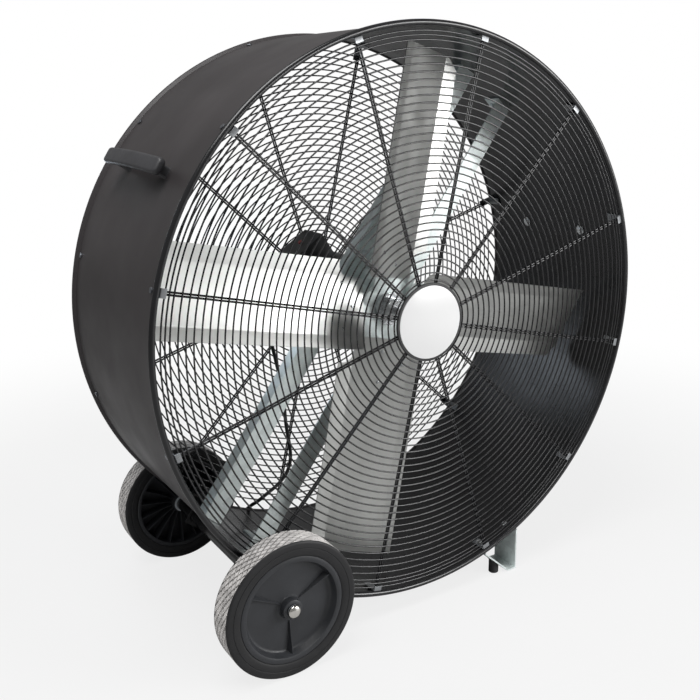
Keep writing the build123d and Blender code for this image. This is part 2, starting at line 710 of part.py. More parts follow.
def speed_knob():
    """The knob behind the guard, on a stem that passes between two rings."""
    stem = polar(SWITCH_PLACE, BOX_ANGLE)
    stem_start = BOX_BACK - BOX_WALL - 10
    knob_start = RING_PLANE + RING_WIRE / 2 + 2.0
    bar = round_bar(KNOB_STEM_RADIUS, stem_start, knob_start + 1, stem.X, stem.Z)
    plane = Plane(origin=(stem.X, knob_start, stem.Z), x_dir=(1, 0, 0), z_dir=(0, 1, 0))
    skirt = extrude(plane * RegularPolygon(KNOB_RADIUS, 16), 4.0)
    grip = extrude(plane.offset(4.0) * RegularPolygon(KNOB_RADIUS - 4, 12), KNOB_LENGTH - 4)
    pointer = plane.offset(KNOB_LENGTH) * Pos(0, KNOB_RADIUS / 2 - 2, 0.4) * Box(2, KNOB_RADIUS - 6, 1.6)
    return bar + skirt + grip + pointer


def gland_plane():
    """Square to the box's lower left side: z is the way the cord leaves."""
    box = box_plane()
    origin = box.from_local_coords(Vector(GLAND_FROM_MIDDLE, BOX_WIDTH / 2, GLAND_PLACE))
    return Plane(origin=origin, x_dir=(0, 1, 0), z_dir=box.y_dir)


def cord_gland():
    """The gland nut and its tapered strain relief."""
    plane = gland_plane()
    nut = hexagon_prism(GLAND_RADIUS, GLAND_NUT_LENGTH, plane)
    wide = plane.offset(GLAND_NUT_LENGTH) * RegularPolygon(CORD_RADIUS + 3, 8)
    narrow = plane.offset(GLAND_NUT_LENGTH + GLAND_TAPER_LENGTH) * RegularPolygon(CORD_RADIUS + 0.8, 8)
    return nut + loft([wide, narrow])


# ---------------------------------------------------------------- rotor

def blade_plane(angle):
    """A blade's own frame: x outward along it, y to its trailing edge, z to the front."""
    turn = math.radians(angle)
    pitch = math.radians(BLADE_PITCH)
    normal = (math.sin(pitch) * math.sin(turn), -math.cos(pitch), -math.sin(pitch) * math.cos(turn))
    return Plane(origin=(0, ROTOR_PLANE, 0), x_dir=(math.cos(turn), 0, math.sin(turn)), z_dir=normal)


def blade_angles():
    """Where the blades stand."""
    return [BLADE_PHASE + i * 360 / BLADE_COUNT for i in range(BLADE_COUNT)]


def blade_shape():
    """One blade in its own frame: a flat with a strip bent forward along each edge."""
    leading = math.radians(BLADE_LEADING_BEND)
    trailing = math.radians(BLADE_TRAILING_BEND)
    edge = -BLADE_LEADING_BEND_AT - BLADE_LEADING_WIDTH * math.cos(leading)
    far_edge = BLADE_TRAILING_BEND_AT + BLADE_TRAILING_WIDTH * math.cos(trailing)
    points = [
        (edge, BLADE_LEADING_WIDTH * math.sin(leading)),
        (-BLADE_LEADING_BEND_AT, 0.0),
        (BLADE_TRAILING_BEND_AT, 0.0),
        (far_edge, BLADE_TRAILING_WIDTH * math.sin(trailing)),
    ]
    across = Plane(origin=(BLADE_ROOT_RADIUS, 0, 0), x_dir=(0, 1, 0), z_dir=(1, 0, 0))
    sheet = extrude(across * bent_sheet(points, BLADE_SHEET), BLADE_TIP_RADIUS - BLADE_ROOT_RADIUS)
    arc_start = LEADING_STRIP_START - LEADING_ROOT_ARC
    arc_middle = -BLADE_LEADING_BEND_AT - LEADING_ROOT_RISE
    outline = make_face([
        Line((BLADE_ROOT_RADIUS, -BLADE_LEADING_BEND_AT), (arc_start, -BLADE_LEADING_BEND_AT)),
        ThreePointArc((arc_start, -BLADE_LEADING_BEND_AT),
                      (LEADING_STRIP_START - LEADING_ROOT_ARC / 4, arc_middle),
                      (LEADING_STRIP_START, edge - 1)),
        Polyline((LEADING_STRIP_START, edge - 1), (BLADE_TIP_RADIUS - BLADE_TIP_CHAMFER, edge - 1),
                 (BLADE_TIP_RADIUS, edge + BLADE_TIP_CHAMFER), (BLADE_TIP_RADIUS, far_edge + 1),
                 (BLADE_ROOT_RADIUS + BLADE_ROOT_CORNER, far_edge + 1)),
        ThreePointArc((BLADE_ROOT_RADIUS + BLADE_ROOT_CORNER, far_edge + 1),
                      (BLADE_ROOT_RADIUS + BLADE_ROOT_CORNER * 0.3, far_edge - BLADE_ROOT_CORNER * 0.3),
                      (BLADE_ROOT_RADIUS, far_edge - BLADE_ROOT_CORNER)),
        Line((BLADE_ROOT_RADIUS, far_edge - BLADE_ROOT_CORNER), (BLADE_ROOT_RADIUS, -BLADE_LEADING_BEND_AT)),
    ])
    return sheet & extrude(Plane.XY.offset(-5) * outline, 30)


def fan_blade(angle):
    """A blade in its place, on the front of its spider arm."""
    return blade_plane(angle) * Pos(0, 0, SPIDER_SHEET / 2) * blade_shape()


def fan_spider():
    """The pressed plate: a disc on the hub and a twisted arm behind each blade."""
    spider = round_bar(SPIDER_DISC_RADIUS, ROTOR_PLANE - SPIDER_SHEET / 2, ROTOR_PLANE + SPIDER_SHEET / 2)
    length = SPIDER_ARM_END - SPIDER_ARM_START
    width = 2 * (RIVET_SPREAD + SPIDER_ARM_MARGIN)
    for angle in blade_angles():
        arm = Box(length, width, SPIDER_SHEET)
        outer_corners = arm.edges().filter_by(Axis.Z).sort_by(Axis.X)[-2:]
        arm = chamfer(outer_corners, SPIDER_ARM_CHAMFER)
        spider += blade_plane(angle) * Pos(SPIDER_ARM_START + length / 2, RIVET_OFFSET, 0) * arm
    return spider - round_bar(HUB_RADIUS, ROTOR_PLANE - HUB_LENGTH, ROTOR_PLANE + HUB_LENGTH)


def rivet_places():
    """Where the rivets stand in a blade's own frame: a diamond."""
    return [
        (RIVET_INNER, RIVET_OFFSET),
        (RIVET_OUTER, RIVET_OFFSET),
        (RIVET_MIDDLE, RIVET_OFFSET - RIVET_SPREAD),
        (RIVET_MIDDLE, RIVET_OFFSET + RIVET_SPREAD),
    ]


def blade_rivets():
    """Four rivets a blade, through blade and arm."""
    rivets = []
    front = SPIDER_SHEET / 2 + BLADE_SHEET
    back = SPIDER_SHEET / 2
    for angle in blade_angles():
        for x, y in rivet_places():
            plane = blade_plane(angle)
            dome = RegularPolygon(RIVET_RADIUS, 6)
            head = plane * Pos(x, y, front) * extrude(dome, RIVET_HEAD, taper=35)
            shank = plane * Pos(x, y, -back) * extrude(RegularPolygon(RIVET_RADIUS / 2, 6), front + back)
            tail = plane * Pos(x, y, -back) * Rot(180, 0, 0) * extrude(dome, RIVET_HEAD, taper=35)
            rivets.append(head + shank + tail)
    return Compound(children=rivets)


def fan_hub():
    """The hub: a boss through the spider, with a wider collar in front."""
    front = ROTOR_PLANE - SPIDER_SHEET / 2
    points = [
        (SHAFT_RADIUS, HUB_FRONT), (HUB_RADIUS - 2, HUB_FRONT), (HUB_RADIUS, HUB_FRONT + 2),
        (HUB_RADIUS, front - COLLAR_LENGTH), (COLLAR_RADIUS, front - COLLAR_LENGTH), (COLLAR_RADIUS, front),
        (HUB_RADIUS, front), (HUB_RADIUS, HUB_BACK), (SHAFT_RADIUS, HUB_BACK),
    ]
    hub = turned(points)
    for place in set_screw_planes():
        hub -= place * extrude(RegularPolygon(SET_SCREW_RADIUS + SEAT, 8), HUB_RADIUS)
    return hub


def set_screw_planes():
    """Where the two set screws bear on the shaft."""
    y = HUB_FRONT + 10
    return [on_wall(SHAFT_RADIUS, BLADE_PHASE + 45 + turn, y) for turn in (0, 90)]


def hub_set_screws():
    """Two square-headed set screws."""
    screws = []
    for plane in set_screw_planes():
        shank = extrude(plane * RegularPolygon(SET_SCREW_RADIUS, 8), HUB_RADIUS - SHAFT_RADIUS)
        head = extrude(plane.offset(HUB_RADIUS - SHAFT_RADIUS) * Rectangle(9, 9), 7)
        screws.append(shank + head)
    return Compound(children=screws)


# ---------------------------------------------------------------- wheels and axle

def wheel_rim():
    """A moulded rim in its own frame, outer face towards -Y: hub, dished web, barrel and ribs."""
    half = WHEEL_WIDTH / 2
    outer = WHEEL_RADIUS - TYRE_THICKNESS
    inner = outer - RIM_BARREL
    web_front = -half + RIM_WEB_DEPTH
    web_back = web_front + RIM_WEB
    bore = AXLE_RADIUS + RUNNING
    points = [
        (bore, -half + 2), (RIM_HUB_RADIUS - 3, -half + 2), (RIM_HUB_RADIUS, web_front),
        (inner - 6, web_front), (inner, -half + 1), (outer, -half + 1), (outer, half - 1),
        (inner, half - 1), (inner, web_back), (RIM_HUB_RADIUS, web_back), (RIM_HUB_RADIUS - 2, half),
        (bore, half),
    ]
    rim = turned(points)
    length = inner - RIM_HUB_RADIUS + 2
    middle = (inner + RIM_HUB_RADIUS) / 2
    for i in range(OUTER_RIB_COUNT):
        rib = Pos(middle, web_front - 4, 0) * Box(length, 8, RIB_THICKNESS)
        rim += Rot(0, 90 + i * 360 / OUTER_RIB_COUNT, 0) * rib
    depth = half - 1 - web_back
    for i in range(INNER_RIB_COUNT):
        rib = Pos(middle, web_back + depth / 2 - 1, 0) * Box(length, depth - 2, RIB_THICKNESS / 2)
        rim += Rot(0, i * 360 / INNER_RIB_COUNT, 0) * rib
    return rim


def wheel_tyre():
    """The tyre in its own frame, with sloped shoulders."""
    half = WHEEL_WIDTH / 2
    inner = WHEEL_RADIUS - TYRE_THICKNESS
    shoulder = WHEEL_RADIUS - TYRE_SHOULDER
    return turned([(inner, -half), (shoulder, -half), (WHEEL_RADIUS, -half + TYRE_SHOULDER),
                   (WHEEL_RADIUS, half - TYRE_SHOULDER), (shoulder, half), (inner, half)])


def at_front_wheel(shape):
    """Moves a wheel piece to the front wheel's place."""
    return Pos(AXLE_X, -WHEEL_MIDDLE, AXLE_Z) * shape


def at_rear_wheel(shape):
    """Turns a wheel piece round and moves it to the rear wheel's place."""
    return Pos(AXLE_X, WHEEL_MIDDLE, AXLE_Z) * Rot(0, 0, 180) * shape


def axle_rod():
    """The rod that both wheels run on."""
    reach = WHEEL_MIDDLE + WHEEL_WIDTH / 2 + CAP_LENGTH - 2
    return round_bar(AXLE_RADIUS, -reach, reach, AXLE_X, AXLE_Z)


def axle_tube():
    """The tube that keeps the wheels apart."""
    reach = WHEEL_INNER_FACE - AXLE_WASHER - 2 * SEAT
    tube = round_bar(AXLE_TUBE_RADIUS, -reach, reach, AXLE_X, AXLE_Z)
    return tube - round_bar(AXLE_TUBE_RADIUS - AXLE_TUBE_WALL, -reach - 1, reach + 1, AXLE_X, AXLE_Z)


def axle_washers():
    """Zinc washers beside each wheel, inside and outside."""
    washers = []
    inner = WHEEL_INNER_FACE - SEAT - AXLE_WASHER
    for start in (inner, WHEEL_INNER_FACE + WHEEL_WIDTH + SEAT):
        section = RegularPolygon(AXLE_WASHER_RADIUS, 20) - RegularPolygon(AXLE_RADIUS + 2 * SEAT, 12)
        ring = extrude(facing_front(start + AXLE_WASHER) * Pos(AXLE_X, AXLE_Z) * section, AXLE_WASHER)
        washers += [ring, mirrored_back(ring)]
    return Compound(children=washers)


def axle_caps():
    """Domed push-on caps over the rod's ends."""
    start = WHEEL_INNER_FACE + WHEEL_WIDTH + SEAT + AXLE_WASHER + SEAT
    end = start + CAP_LENGTH
    hollow = AXLE_RADIUS + RUNNING
    rod_end = WHEEL_MIDDLE + WHEEL_WIDTH / 2 + CAP_LENGTH - 2
    points = [(hollow, start), (CAP_RADIUS, start), (CAP_RADIUS - 1, start + 4), (CAP_RADIUS - 4.5, end),
              (0, end), (0, rod_end + SEAT), (hollow, rod_end + SEAT)]
    cap = turned(points, AXLE_X, AXLE_Z)
    return Compound(children=[cap, mirrored_back(cap)])


def axle_brackets():
    """Two bent plates that hang the tube under the drum."""
    reach = AXLE_PLACE_RADIUS + AXLE_TUBE_RADIUS + 6
    brackets = []
    for side in (-1, 1):
        base = on_wall(DRUM_RADIUS + 2 * SEAT, AXLE_ANGLE, side * AXLE_BRACKET_PLACE)
        height = reach - DRUM_RADIUS - 2 * SEAT
        upright = Pos(0, 0, height / 2) * Box(AXLE_BRACKET_SHEET, AXLE_BRACKET_WIDTH, height)
        foot = Pos(-side * AXLE_BRACKET_FOOT / 2, 0, AXLE_BRACKET_SHEET / 2) * Box(
            AXLE_BRACKET_FOOT, AXLE_BRACKET_WIDTH, AXLE_BRACKET_SHEET)
        bracket = base * (upright + foot)
        low = side * AXLE_BRACKET_PLACE - AXLE_BRACKET_SHEET
        high = low + 2 * AXLE_BRACKET_SHEET
        brackets.append(bracket - round_bar(AXLE_TUBE_RADIUS + SEAT, low, high, AXLE_X, AXLE_Z))
    return Compound(children=brackets)


def axle_bolts():
    """A bolt through each bracket's foot into the drum."""
    bolts = []
    for side in (-1, 1):
        y = side * (AXLE_BRACKET_PLACE - AXLE_BRACKET_FOOT * 0.6)
        bolts.append(wall_bolt(INNER_RADIUS, DRUM_RADIUS + 2 * SEAT + AXLE_BRACKET_SHEET, AXLE_ANGLE, y))
    return Compound(children=bolts)


# ---------------------------------------------------------------- feet

def drum_bottom(x):
    """The height of the drum's outside at an x, near its bottom."""
    return -math.sqrt((DRUM_RADIUS + SEAT) ** 2 - x ** 2)


def flange_end(top_x, way):
    """The free end of a flange that lies along the drum from an arm's top."""
    top_z = drum_bottom(top_x) - SEAT
    reach = math.hypot(top_x, top_z)
    return (top_x - way * FOOT_FLANGE * top_z / reach, top_z + way * FOOT_FLANGE * top_x / reach)


def foot_corner_points():
    """The strip's outer face from the left flange, down and up again to the right flange."""
    return [
        flange_end(FOOT_LEFT_ARM_TOP, 1),
        (FOOT_LEFT_ARM_TOP, drum_bottom(FOOT_LEFT_ARM_TOP) - SEAT),
        (FOOT_WEB_LEFT, FOOT_WEB_BOTTOM),
        (FOOT_WEB_RIGHT, FOOT_WEB_BOTTOM),
        (FOOT_WEB_RIGHT, drum_bottom(FOOT_WEB_RIGHT) - SEAT),
        flange_end(FOOT_WEB_RIGHT, -1),
    ]


def foot_bracket():
    """The front foot: a strip bent to a V, with a flange up against the drum at each side."""
    section = bent_sheet(foot_corner_points(), FOOT_SHEET)
    strip = extrude(facing_front(FOOT_FRONT + FOOT_STRIP_WIDTH) * section, FOOT_STRIP_WIDTH)
    spare = FOOT_STRIP_WIDTH - FOOT_LEFT_ARM_WIDTH
    width = FOOT_WEB_LEFT - FOOT_LEFT_ARM_TOP + 10
    middle = Pos(FOOT_WEB_LEFT - width / 2, FOOT_FRONT + FOOT_STRIP_WIDTH - spare / 2, FOOT_WEB_BOTTOM)
    return strip - middle * Box(width, spare, 2 * DRUM_RADIUS) - drum_envelope()


def foot_pad():
    """The rubber bumper under the front foot's sloping arm."""
    corners = foot_corner_points()
    y = FOOT_FRONT + PAD_FROM_FRONT
    bumper = Pos(PAD_X, y, FLOOR) * extrude(RegularPolygon(PAD_RADIUS, 16), DRUM_RADIUS / 10)
    (top_x, top_z), (low_x, low_z) = corners[1], corners[2]
    above = make_face(Polyline(
        (top_x, top_z - SEAT), (low_x, low_z - SEAT),
        (low_x, top_z + DRUM_RADIUS), (top_x, top_z + DRUM_RADIUS),
        close=True))
    return bumper - extrude(facing_front(y + 2 * PAD_RADIUS) * above, 4 * PAD_RADIUS)


def foot_pads():
    """The bumpers under both feet."""
    front = foot_pad()
    return Compound(children=[front, mirrored_back(front)])


def foot_bolts():
    """One bolt through each flange, front and rear: the left ones hold a guard clip as well."""
    y = FOOT_FRONT + SCREW_FROM_EDGE
    outer = DRUM_RADIUS + 3 * SEAT + FOOT_SHEET
    end_x, end_z = flange_end(FOOT_WEB_RIGHT, -1)
    place_x = (FOOT_WEB_RIGHT + end_x) / 2
    right_angle = math.degrees(math.atan2(drum_bottom(place_x), place_x))
    left = wall_bolt(BEAD_INNER - SEAT - CLIP_SHEET, outer, clip_angles()[FOOT_CLIP_INDEX], y)
    right = wall_bolt(INNER_RADIUS, outer, right_angle, y)
    return Compound(children=[left, right, mirrored_back(left), mirrored_back(right)])


# ---------------------------------------------------------------- handles

def handle(angle):
    """An arched grip along the drum, standing on two feet."""
    half = HANDLE_LENGTH / 2
    inner = half - HANDLE_FOOT_LENGTH
    foot = 2 * SEAT
    outline = make_face([
        Line((-half, foot), (-half, HANDLE_END_HEIGHT)),
        ThreePointArc((-half, HANDLE_END_HEIGHT), (0, HANDLE_HEIGHT), (half, HANDLE_END_HEIGHT)),
        Line((half, HANDLE_END_HEIGHT), (half, foot)),
        Line((half, foot), (inner, foot)),
        Line((inner, foot), (inner - 4, HANDLE_CLEAR_END)),
        ThreePointArc((inner - 4, HANDLE_CLEAR_END), (0, HANDLE_CLEAR_MIDDLE),
                      (-inner + 4, HANDLE_CLEAR_END)),
        Line((-inner + 4, HANDLE_CLEAR_END), (-inner, foot)),
        Line((-inner, foot), (-half, foot)),
    ])
    wall = on_wall(DRUM_RADIUS, angle)
    edge = wall.origin + wall.y_dir * (HANDLE_WIDTH / 2)
    side = Plane(origin=edge, x_dir=wall.x_dir, z_dir=wall.y_dir * -1)
    grip = extrude(side * outline, HANDLE_WIDTH)
    crown = max(grip.faces(), key=lambda face: (face.center() - wall.origin).dot(wall.z_dir))
    long_edges = [edge for edge in crown.edges() if edge.length > HANDLE_LENGTH / 2]
    return chamfer(long_edges, HANDLE_CHAMFER)


def handle_bolts():
    """Bolts with wide washers from inside the drum into the handles' feet."""
    bolts = []
    for angle in (LEFT_HANDLE_ANGLE, RIGHT_HANDLE_ANGLE):
        for side in (-0.5, 0.5):
            y = side * HANDLE_BOLT_SPACING
            inner = INNER_RADIUS - BOLT_WASHER - SEAT
            washer = extrude(on_wall(inner, angle, y) * RegularPolygon(BOLT_WASHER_RADIUS, 12), BOLT_WASHER)
            under = on_wall(inner - BOLT_HEAD_HEIGHT, angle, y)
            head = hexagon_prism(BOLT_HEAD_RADIUS, BOLT_HEAD_HEIGHT, under)
            length = DRUM_WALL + BOLT_WASHER + SEAT + HANDLE_BOLT_DEPTH
            shank = hexagon_prism(BOLT_RADIUS, length, on_wall(inner, angle, y))
            bolts.append(washer + head + shank)
    return Compound(children=bolts)


# ---------------------------------------------------------------- supply cord

# The stretch from the gland down the rear guard, out past its outer ring, to the coil.
CORD_ROUTE = [
    (-143.1, 165.0, 42.2),
    (-156.0, 167.5, 17.0),
    (-153.5, 172.5, -20.0),
    (-145.5, 178.0, -64.0),
    (-132.5, 181.5, -110.0),
    (-120.5, 185.0, -157.0),
    (-108.5, 188.5, -202.0),
    (-99.5, 191.5, -245.5),
    (-96.6, 193.5, -287.0),
    (-92.6, 194.5, -325.7),
    (-85.5, 195.0, -361.9),
    (-82.4, 194.5, -396.0),
    (-92.3, 193.5, -429.7),
    (-118.9, 191.0, -452.6),
    (-149.0, 189.0, -466.5),
    (-168.0, 197.0, -483.5),
    (-181.0, 218.5, -501.5),
    (-190.0, 241.0, -530.0),
    (-176.0, 257.0, -556.5),
    (-142.0, 262.0, -573.8),
    (-98.0, 258.0, -578.5),
    (-52.0, 250.0, -578.9),
    (0.0, 245.0, -578.6),
    (56.0, 242.0, -578.9),
    (112.0, 240.4, -578.6),
    (168.0, 239.5, -578.9),
    (224.0, 240.3, -578.6),
    (280.0, 239.7, -578.9),
    (330.0, 240.3, -578.6),
]


def cord_start():
    """The end face of the strain relief."""
    return gland_plane().offset(GLAND_NUT_LENGTH + GLAND_TAPER_LENGTH).origin


def corner_radii(points):
    """For each corner, 0.45 of its shorter run over the tangent of half its turn."""
    radii = []
    for before, corner, after in zip(points, points[1:], points[2:]):
        way_in = Vector(corner) - Vector(before)
        way_out = Vector(after) - Vector(corner)
        half_turn = math.radians(way_in.get_angle(way_out)) / 2
        radii.append(0.45 * min(way_in.length, way_out.length) / math.tan(half_turn))
    return radii


def cord_tube(points, sides):
    """A faceted tube along straight runs joined by tangent arcs."""
    radii = corner_radii(points)
    print("cord radii", [round(radius) for radius in radii])
    path = FilletPolyline(*points, radius=radii)
    section = Plane(origin=path @ 0, z_dir=path % 0) * RegularPolygon(CORD_RADIUS, sides)
    tube = sweep(section, path=path)
    share = tube.volume / (section.area * path.length)
    print("cord length", round(path.length, 1), "volume ratio", round(share, 4))
    return tube


def coil_entry():
    """Where the cord meets the coil, on the floor at the coil's front."""
    return Vector(COIL_X, COIL_Y - COIL_OUTER_RADIUS, FLOOR + CORD_RADIUS)


def supply_cord():
    """The stretch from the gland to the coil."""
    end = coil_entry()
    points = [cord_start()] + [Vector(*point) for point in CORD_ROUTE]
    points += [end - Vector(COIL_LEAD_IN, 0, 0), end]
    return cord_tube(points, CORD_SIDES)


def biarc(start, start_way, end, end_way):
    """Two tangent arcs from one point and direction to another."""
    gap = end - start
    both = start_way + end_way
    a = 2 * (1 - start_way.dot(end_way))
    b = 2 * gap.dot(both)
    c = -gap.dot(gap)
    reach = -c / b if abs(a) < 1e-9 else (-b + math.sqrt(b * b - 4 * a * c)) / (2 * a)
    first = start + start_way * reach
    last = end - end_way * reach
    joint = (first + last) / 2
    return [
        Edge.make_tangent_arc(start, start_way, joint),
        Edge.make_tangent_arc(joint, last - first, end),
    ]


def coil_points():
    """Half-turn stations of the coil: in on the floor layer, a climb, and out again on top."""
    half_turns = round(2 * COIL_TURNS_PER_LAYER)
    low = FLOOR + CORD_RADIUS
    stations = []
    for layer in (0, 1):
        for i in range(half_turns + 1):
            index = i if layer == 0 else half_turns - i
            radius = COIL_OUTER_RADIUS - index * COIL_STEP / 2
            turned_by = i if layer == 0 else half_turns + 1 + i
            angle = math.radians(-90 + 180 * turned_by)
            out = Vector(math.cos(angle), math.sin(angle), 0)
            centre = Vector(COIL_X, COIL_Y, low + layer * COIL_LAYER_STEP)
            stations.append((centre + out * radius, Vector(-out.Y, out.X, 0)))
    return stations


def cord_coil():
    """The put-away length, wound in two layers behind the drum."""
    stations = coil_points()
    edges = []
    for (start, start_way), (end, end_way) in zip(stations, stations[1:]):
        edges += biarc(start, start_way, end, end_way)
    path = Wire(edges)
    report_coil_gap(path)
    across = Plane(origin=path @ 0, z_dir=path % 0, x_dir=(0, 0, 1))
    section = across * RegularPolygon(CORD_RADIUS, COIL_SIDES)
    coil = sweep(section, path=path)
    share = coil.volume / (section.area * path.length)
    print("coil length", round(path.length, 1), "volume ratio", round(share, 4))
    return coil


def report_coil_gap(path):
    """Prints the least gap between one turn and another."""
    samples = 400
    points = [path @ (i / samples) for i in range(samples + 1)]
    apart = samples // 8
    least = min((points[i] - later).length for i in range(samples) for later in points[i + apart:])
    print("coil least gap", round(least - 2 * CORD_RADIUS, 2))


def coil_exit():
    """Where the cord leaves the coil's top layer, and its direction there."""
    return coil_points()[-1]


def tail_points():
    """The short tail from the coil down to the plug on the floor."""
    start, way = coil_exit()
    low = FLOOR + CORD_RADIUS
    side = Vector(-way.Y, way.X, 0)
    plug_axis = FLOOR + PLUG_THICKNESS / 2
    return [
        start,
        start + way * 24,
        start + way * 46 + side * 3 + Vector(0, 0, low + 3 - start.Z),
        start + way * 68 + side * 10 + Vector(0, 0, low + 0.6 - start.Z),
        start + way * 90 + side * 15 + Vector(0, 0, low + 3 - start.Z),
        start + way * 110 + side * 20 + Vector(0, 0, plug_axis - start.Z),
    ]


def cord_tail():
    """The tail as a tube."""
    return cord_tube(tail_points(), CORD_SIDES)


def plug():
    """A moulded three-pin plug lying on the floor."""
    points = tail_points()
    way = (points[-1] - points[-2]).normalized()
    plane = Plane(origin=points[-1], z_dir=way, x_dir=(0, 0, 1))
    narrow = plane * RegularPolygon(CORD_RADIUS + 1, 8)
    wide = plane.offset(PLUG_NECK) * RegularPolygon(CORD_RADIUS + 4, 8)
    neck = loft([narrow, wide])
    level = Vector(way.X, way.Y, 0).normalized()
    body_plane = Plane(origin=points[-1] + way * (PLUG_NECK - 1), z_dir=level, x_dir=(0, 0, 1))
    body = extrude(body_plane * Rectangle(PLUG_THICKNESS, PLUG_WIDTH), PLUG_LENGTH)
    pins = body_plane.offset(PLUG_LENGTH)
    blades = [pins * Pos(2, side * 6.35, 8) * Box(6.3, 1.5, 17) for side in (-1, 1)]
    ground = extrude(pins * Pos(-5, 0) * RegularPolygon(2.4, 8), 19)
    return body + neck + blades + ground


# ---------------------------------------------------------------- the whole fan

def fan_pieces():
    """Every piece by name, about the drum's centre."""
    screws = clip_screws()
    foot = foot_bracket()
    pieces = {
        "drum_shell": drum_shell(),
        "drum_beads": drum_beads(),
        "front_guard": front_guard(),
        "front_guard_clips": guard_clips(FRONT_CLIP_REACH),
        "front_clip_screws": screws,
        "badge_rim": badge_rim(),
        "badge": badge(),
        "rear_guard": rear_guard(),
        "rear_guard_clips": mirrored_back(guard_clips(REAR_CLIP_REACH)),
        "rear_clip_screws": mirrored_back(screws),
        "upper_strut": strut(1),
        "lower_strut": strut(-1),
        "strut_bolts": strut_bolts(),
        "motor_plate": motor_plate(),
        "motor_plate_bolts": plate_bolts(),
        "motor_front_bell": motor_bell(MOTOR_FRONT, SHELL_FRONT),
        "motor_shell": motor_shell(),
        "motor_rear_bell": motor_bell(MOTOR_BACK, SHELL_BACK),
        "motor_bearings": motor_bearings(),
        "motor_through_bolts": through_bolts(),
        "stator_core": stator_core(),
        "stator_windings": stator_windings(),
        "terminal_box": terminal_box(),
        "terminal_box_cover": box_cover(),
        "capacitor": capacitor(),
        "speed_switch": speed_switch(),
        "speed_knob": speed_knob(),
        "reset_button": reset_button(),
        "cord_gland": cord_gland(),
        "motor_shaft": motor_shaft(),
        "rotor_core": rotor_core(),
        "fan_hub": fan_hub(),
        "hub_set_screws": hub_set_screws(),
        "fan_spider": fan_spider(),
        "blade_rivets": blade_rivets(),
        "front_wheel_rim": at_front_wheel(wheel_rim()),
        "front_wheel_tyre": at_front_wheel(wheel_tyre()),
        "rear_wheel_rim": at_rear_wheel(wheel_rim()),
        "rear_wheel_tyre": at_rear_wheel(wheel_tyre()),
        "axle_rod": axle_rod(),
        "axle_tube": axle_tube(),
        "axle_washers": axle_washers(),
        "axle_caps": axle_caps(),
        "axle_brackets": axle_brackets(),
        "axle_bracket_bolts": axle_bolts(),
        "front_foot_bracket": foot,
        "rear_foot_bracket": mirrored_back(foot),
        "foot_pads": foot_pads(),
        "foot_bolts": foot_bolts(),
        "left_handle": handle(LEFT_HANDLE_ANGLE),
        "right_handle": handle(RIGHT_HANDLE_ANGLE),
        "handle_bolts": handle_bolts(),
        "supply_cord": supply_cord(),
        "supply_cord_coil": cord_coil(),
        "supply_cord_tail": cord_tail(),
        "supply_plug": plug(),
    }
    for number, angle in enumerate(blade_angles(), start=1):
        pieces[f"fan_blade_{number}"] = fan_blade(angle)
    return pieces


def main():
    """Writes every piece, moved so that the fan stands on the floor about its middle."""
    os.makedirs("parts", exist_ok=True)
    pieces = fan_pieces()
    left = pieces["drum_beads"].bounding_box().min.X
    right = pieces["right_handle"].bounding_box().max.X
    to_floor = Pos(-(left + right) / 2, 0, -FLOOR)
    print("moved by", -(left + right) / 2, 0, -FLOOR)
    for name, piece in pieces.items():
        export_step(to_floor * piece, f"parts/{name}.step")


main()
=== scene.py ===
"""The looks of a drum fan on two wheels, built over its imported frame.

Metres throughout, in the frame's own axes: X to the right seen from the front, Y from the
front guard to the rear one, Z up, with the floor at zero.
"""

import json
import math
from functools import partial

import bmesh
import bpy
from bpy.props import FloatProperty, FloatVectorProperty, IntProperty, PointerProperty
from bpy.types import Operator, Panel, PropertyGroup
from mathutils import Matrix, Vector


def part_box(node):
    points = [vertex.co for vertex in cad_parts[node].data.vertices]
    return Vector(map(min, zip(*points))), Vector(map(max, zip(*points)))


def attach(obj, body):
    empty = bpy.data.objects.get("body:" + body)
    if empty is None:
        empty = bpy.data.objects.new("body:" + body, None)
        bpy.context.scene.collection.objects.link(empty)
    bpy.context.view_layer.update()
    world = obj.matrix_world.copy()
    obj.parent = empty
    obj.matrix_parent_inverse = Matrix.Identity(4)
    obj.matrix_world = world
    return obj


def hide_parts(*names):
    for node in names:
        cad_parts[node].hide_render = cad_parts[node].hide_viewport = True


bl_info = {
    "name": "Drum Fan",
    "version": (1, 0, 0),
    "blender": (4, 5, 0),
    "location": "View3D > Sidebar > Drum Fan",
    "description": "Builds the looks of a two-wheeled drum fan over its frame",
    "category": "Object",
}

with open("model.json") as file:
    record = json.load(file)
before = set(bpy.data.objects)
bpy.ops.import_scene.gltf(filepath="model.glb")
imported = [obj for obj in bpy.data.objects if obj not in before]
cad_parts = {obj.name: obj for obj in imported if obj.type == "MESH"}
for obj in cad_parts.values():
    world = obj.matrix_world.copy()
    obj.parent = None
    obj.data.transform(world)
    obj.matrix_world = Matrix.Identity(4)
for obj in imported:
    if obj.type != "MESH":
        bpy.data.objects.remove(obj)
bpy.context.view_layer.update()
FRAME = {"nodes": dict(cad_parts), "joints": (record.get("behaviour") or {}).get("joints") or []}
NODES = FRAME["nodes"]

# ---- places taken from the frame ----
JOINTS = {joint["name"]: joint for joint in FRAME["joints"]}
AXIS = Vector((JOINTS["rotor_spin"]["pos_m"][0], 0.0, JOINTS["rotor_spin"]["pos_m"][2]))
FRONT_WHEEL = Vector(JOINTS["front_wheel_spin"]["pos_m"])
REAR_WHEEL = Vector(JOINTS["rear_wheel_spin"]["pos_m"])

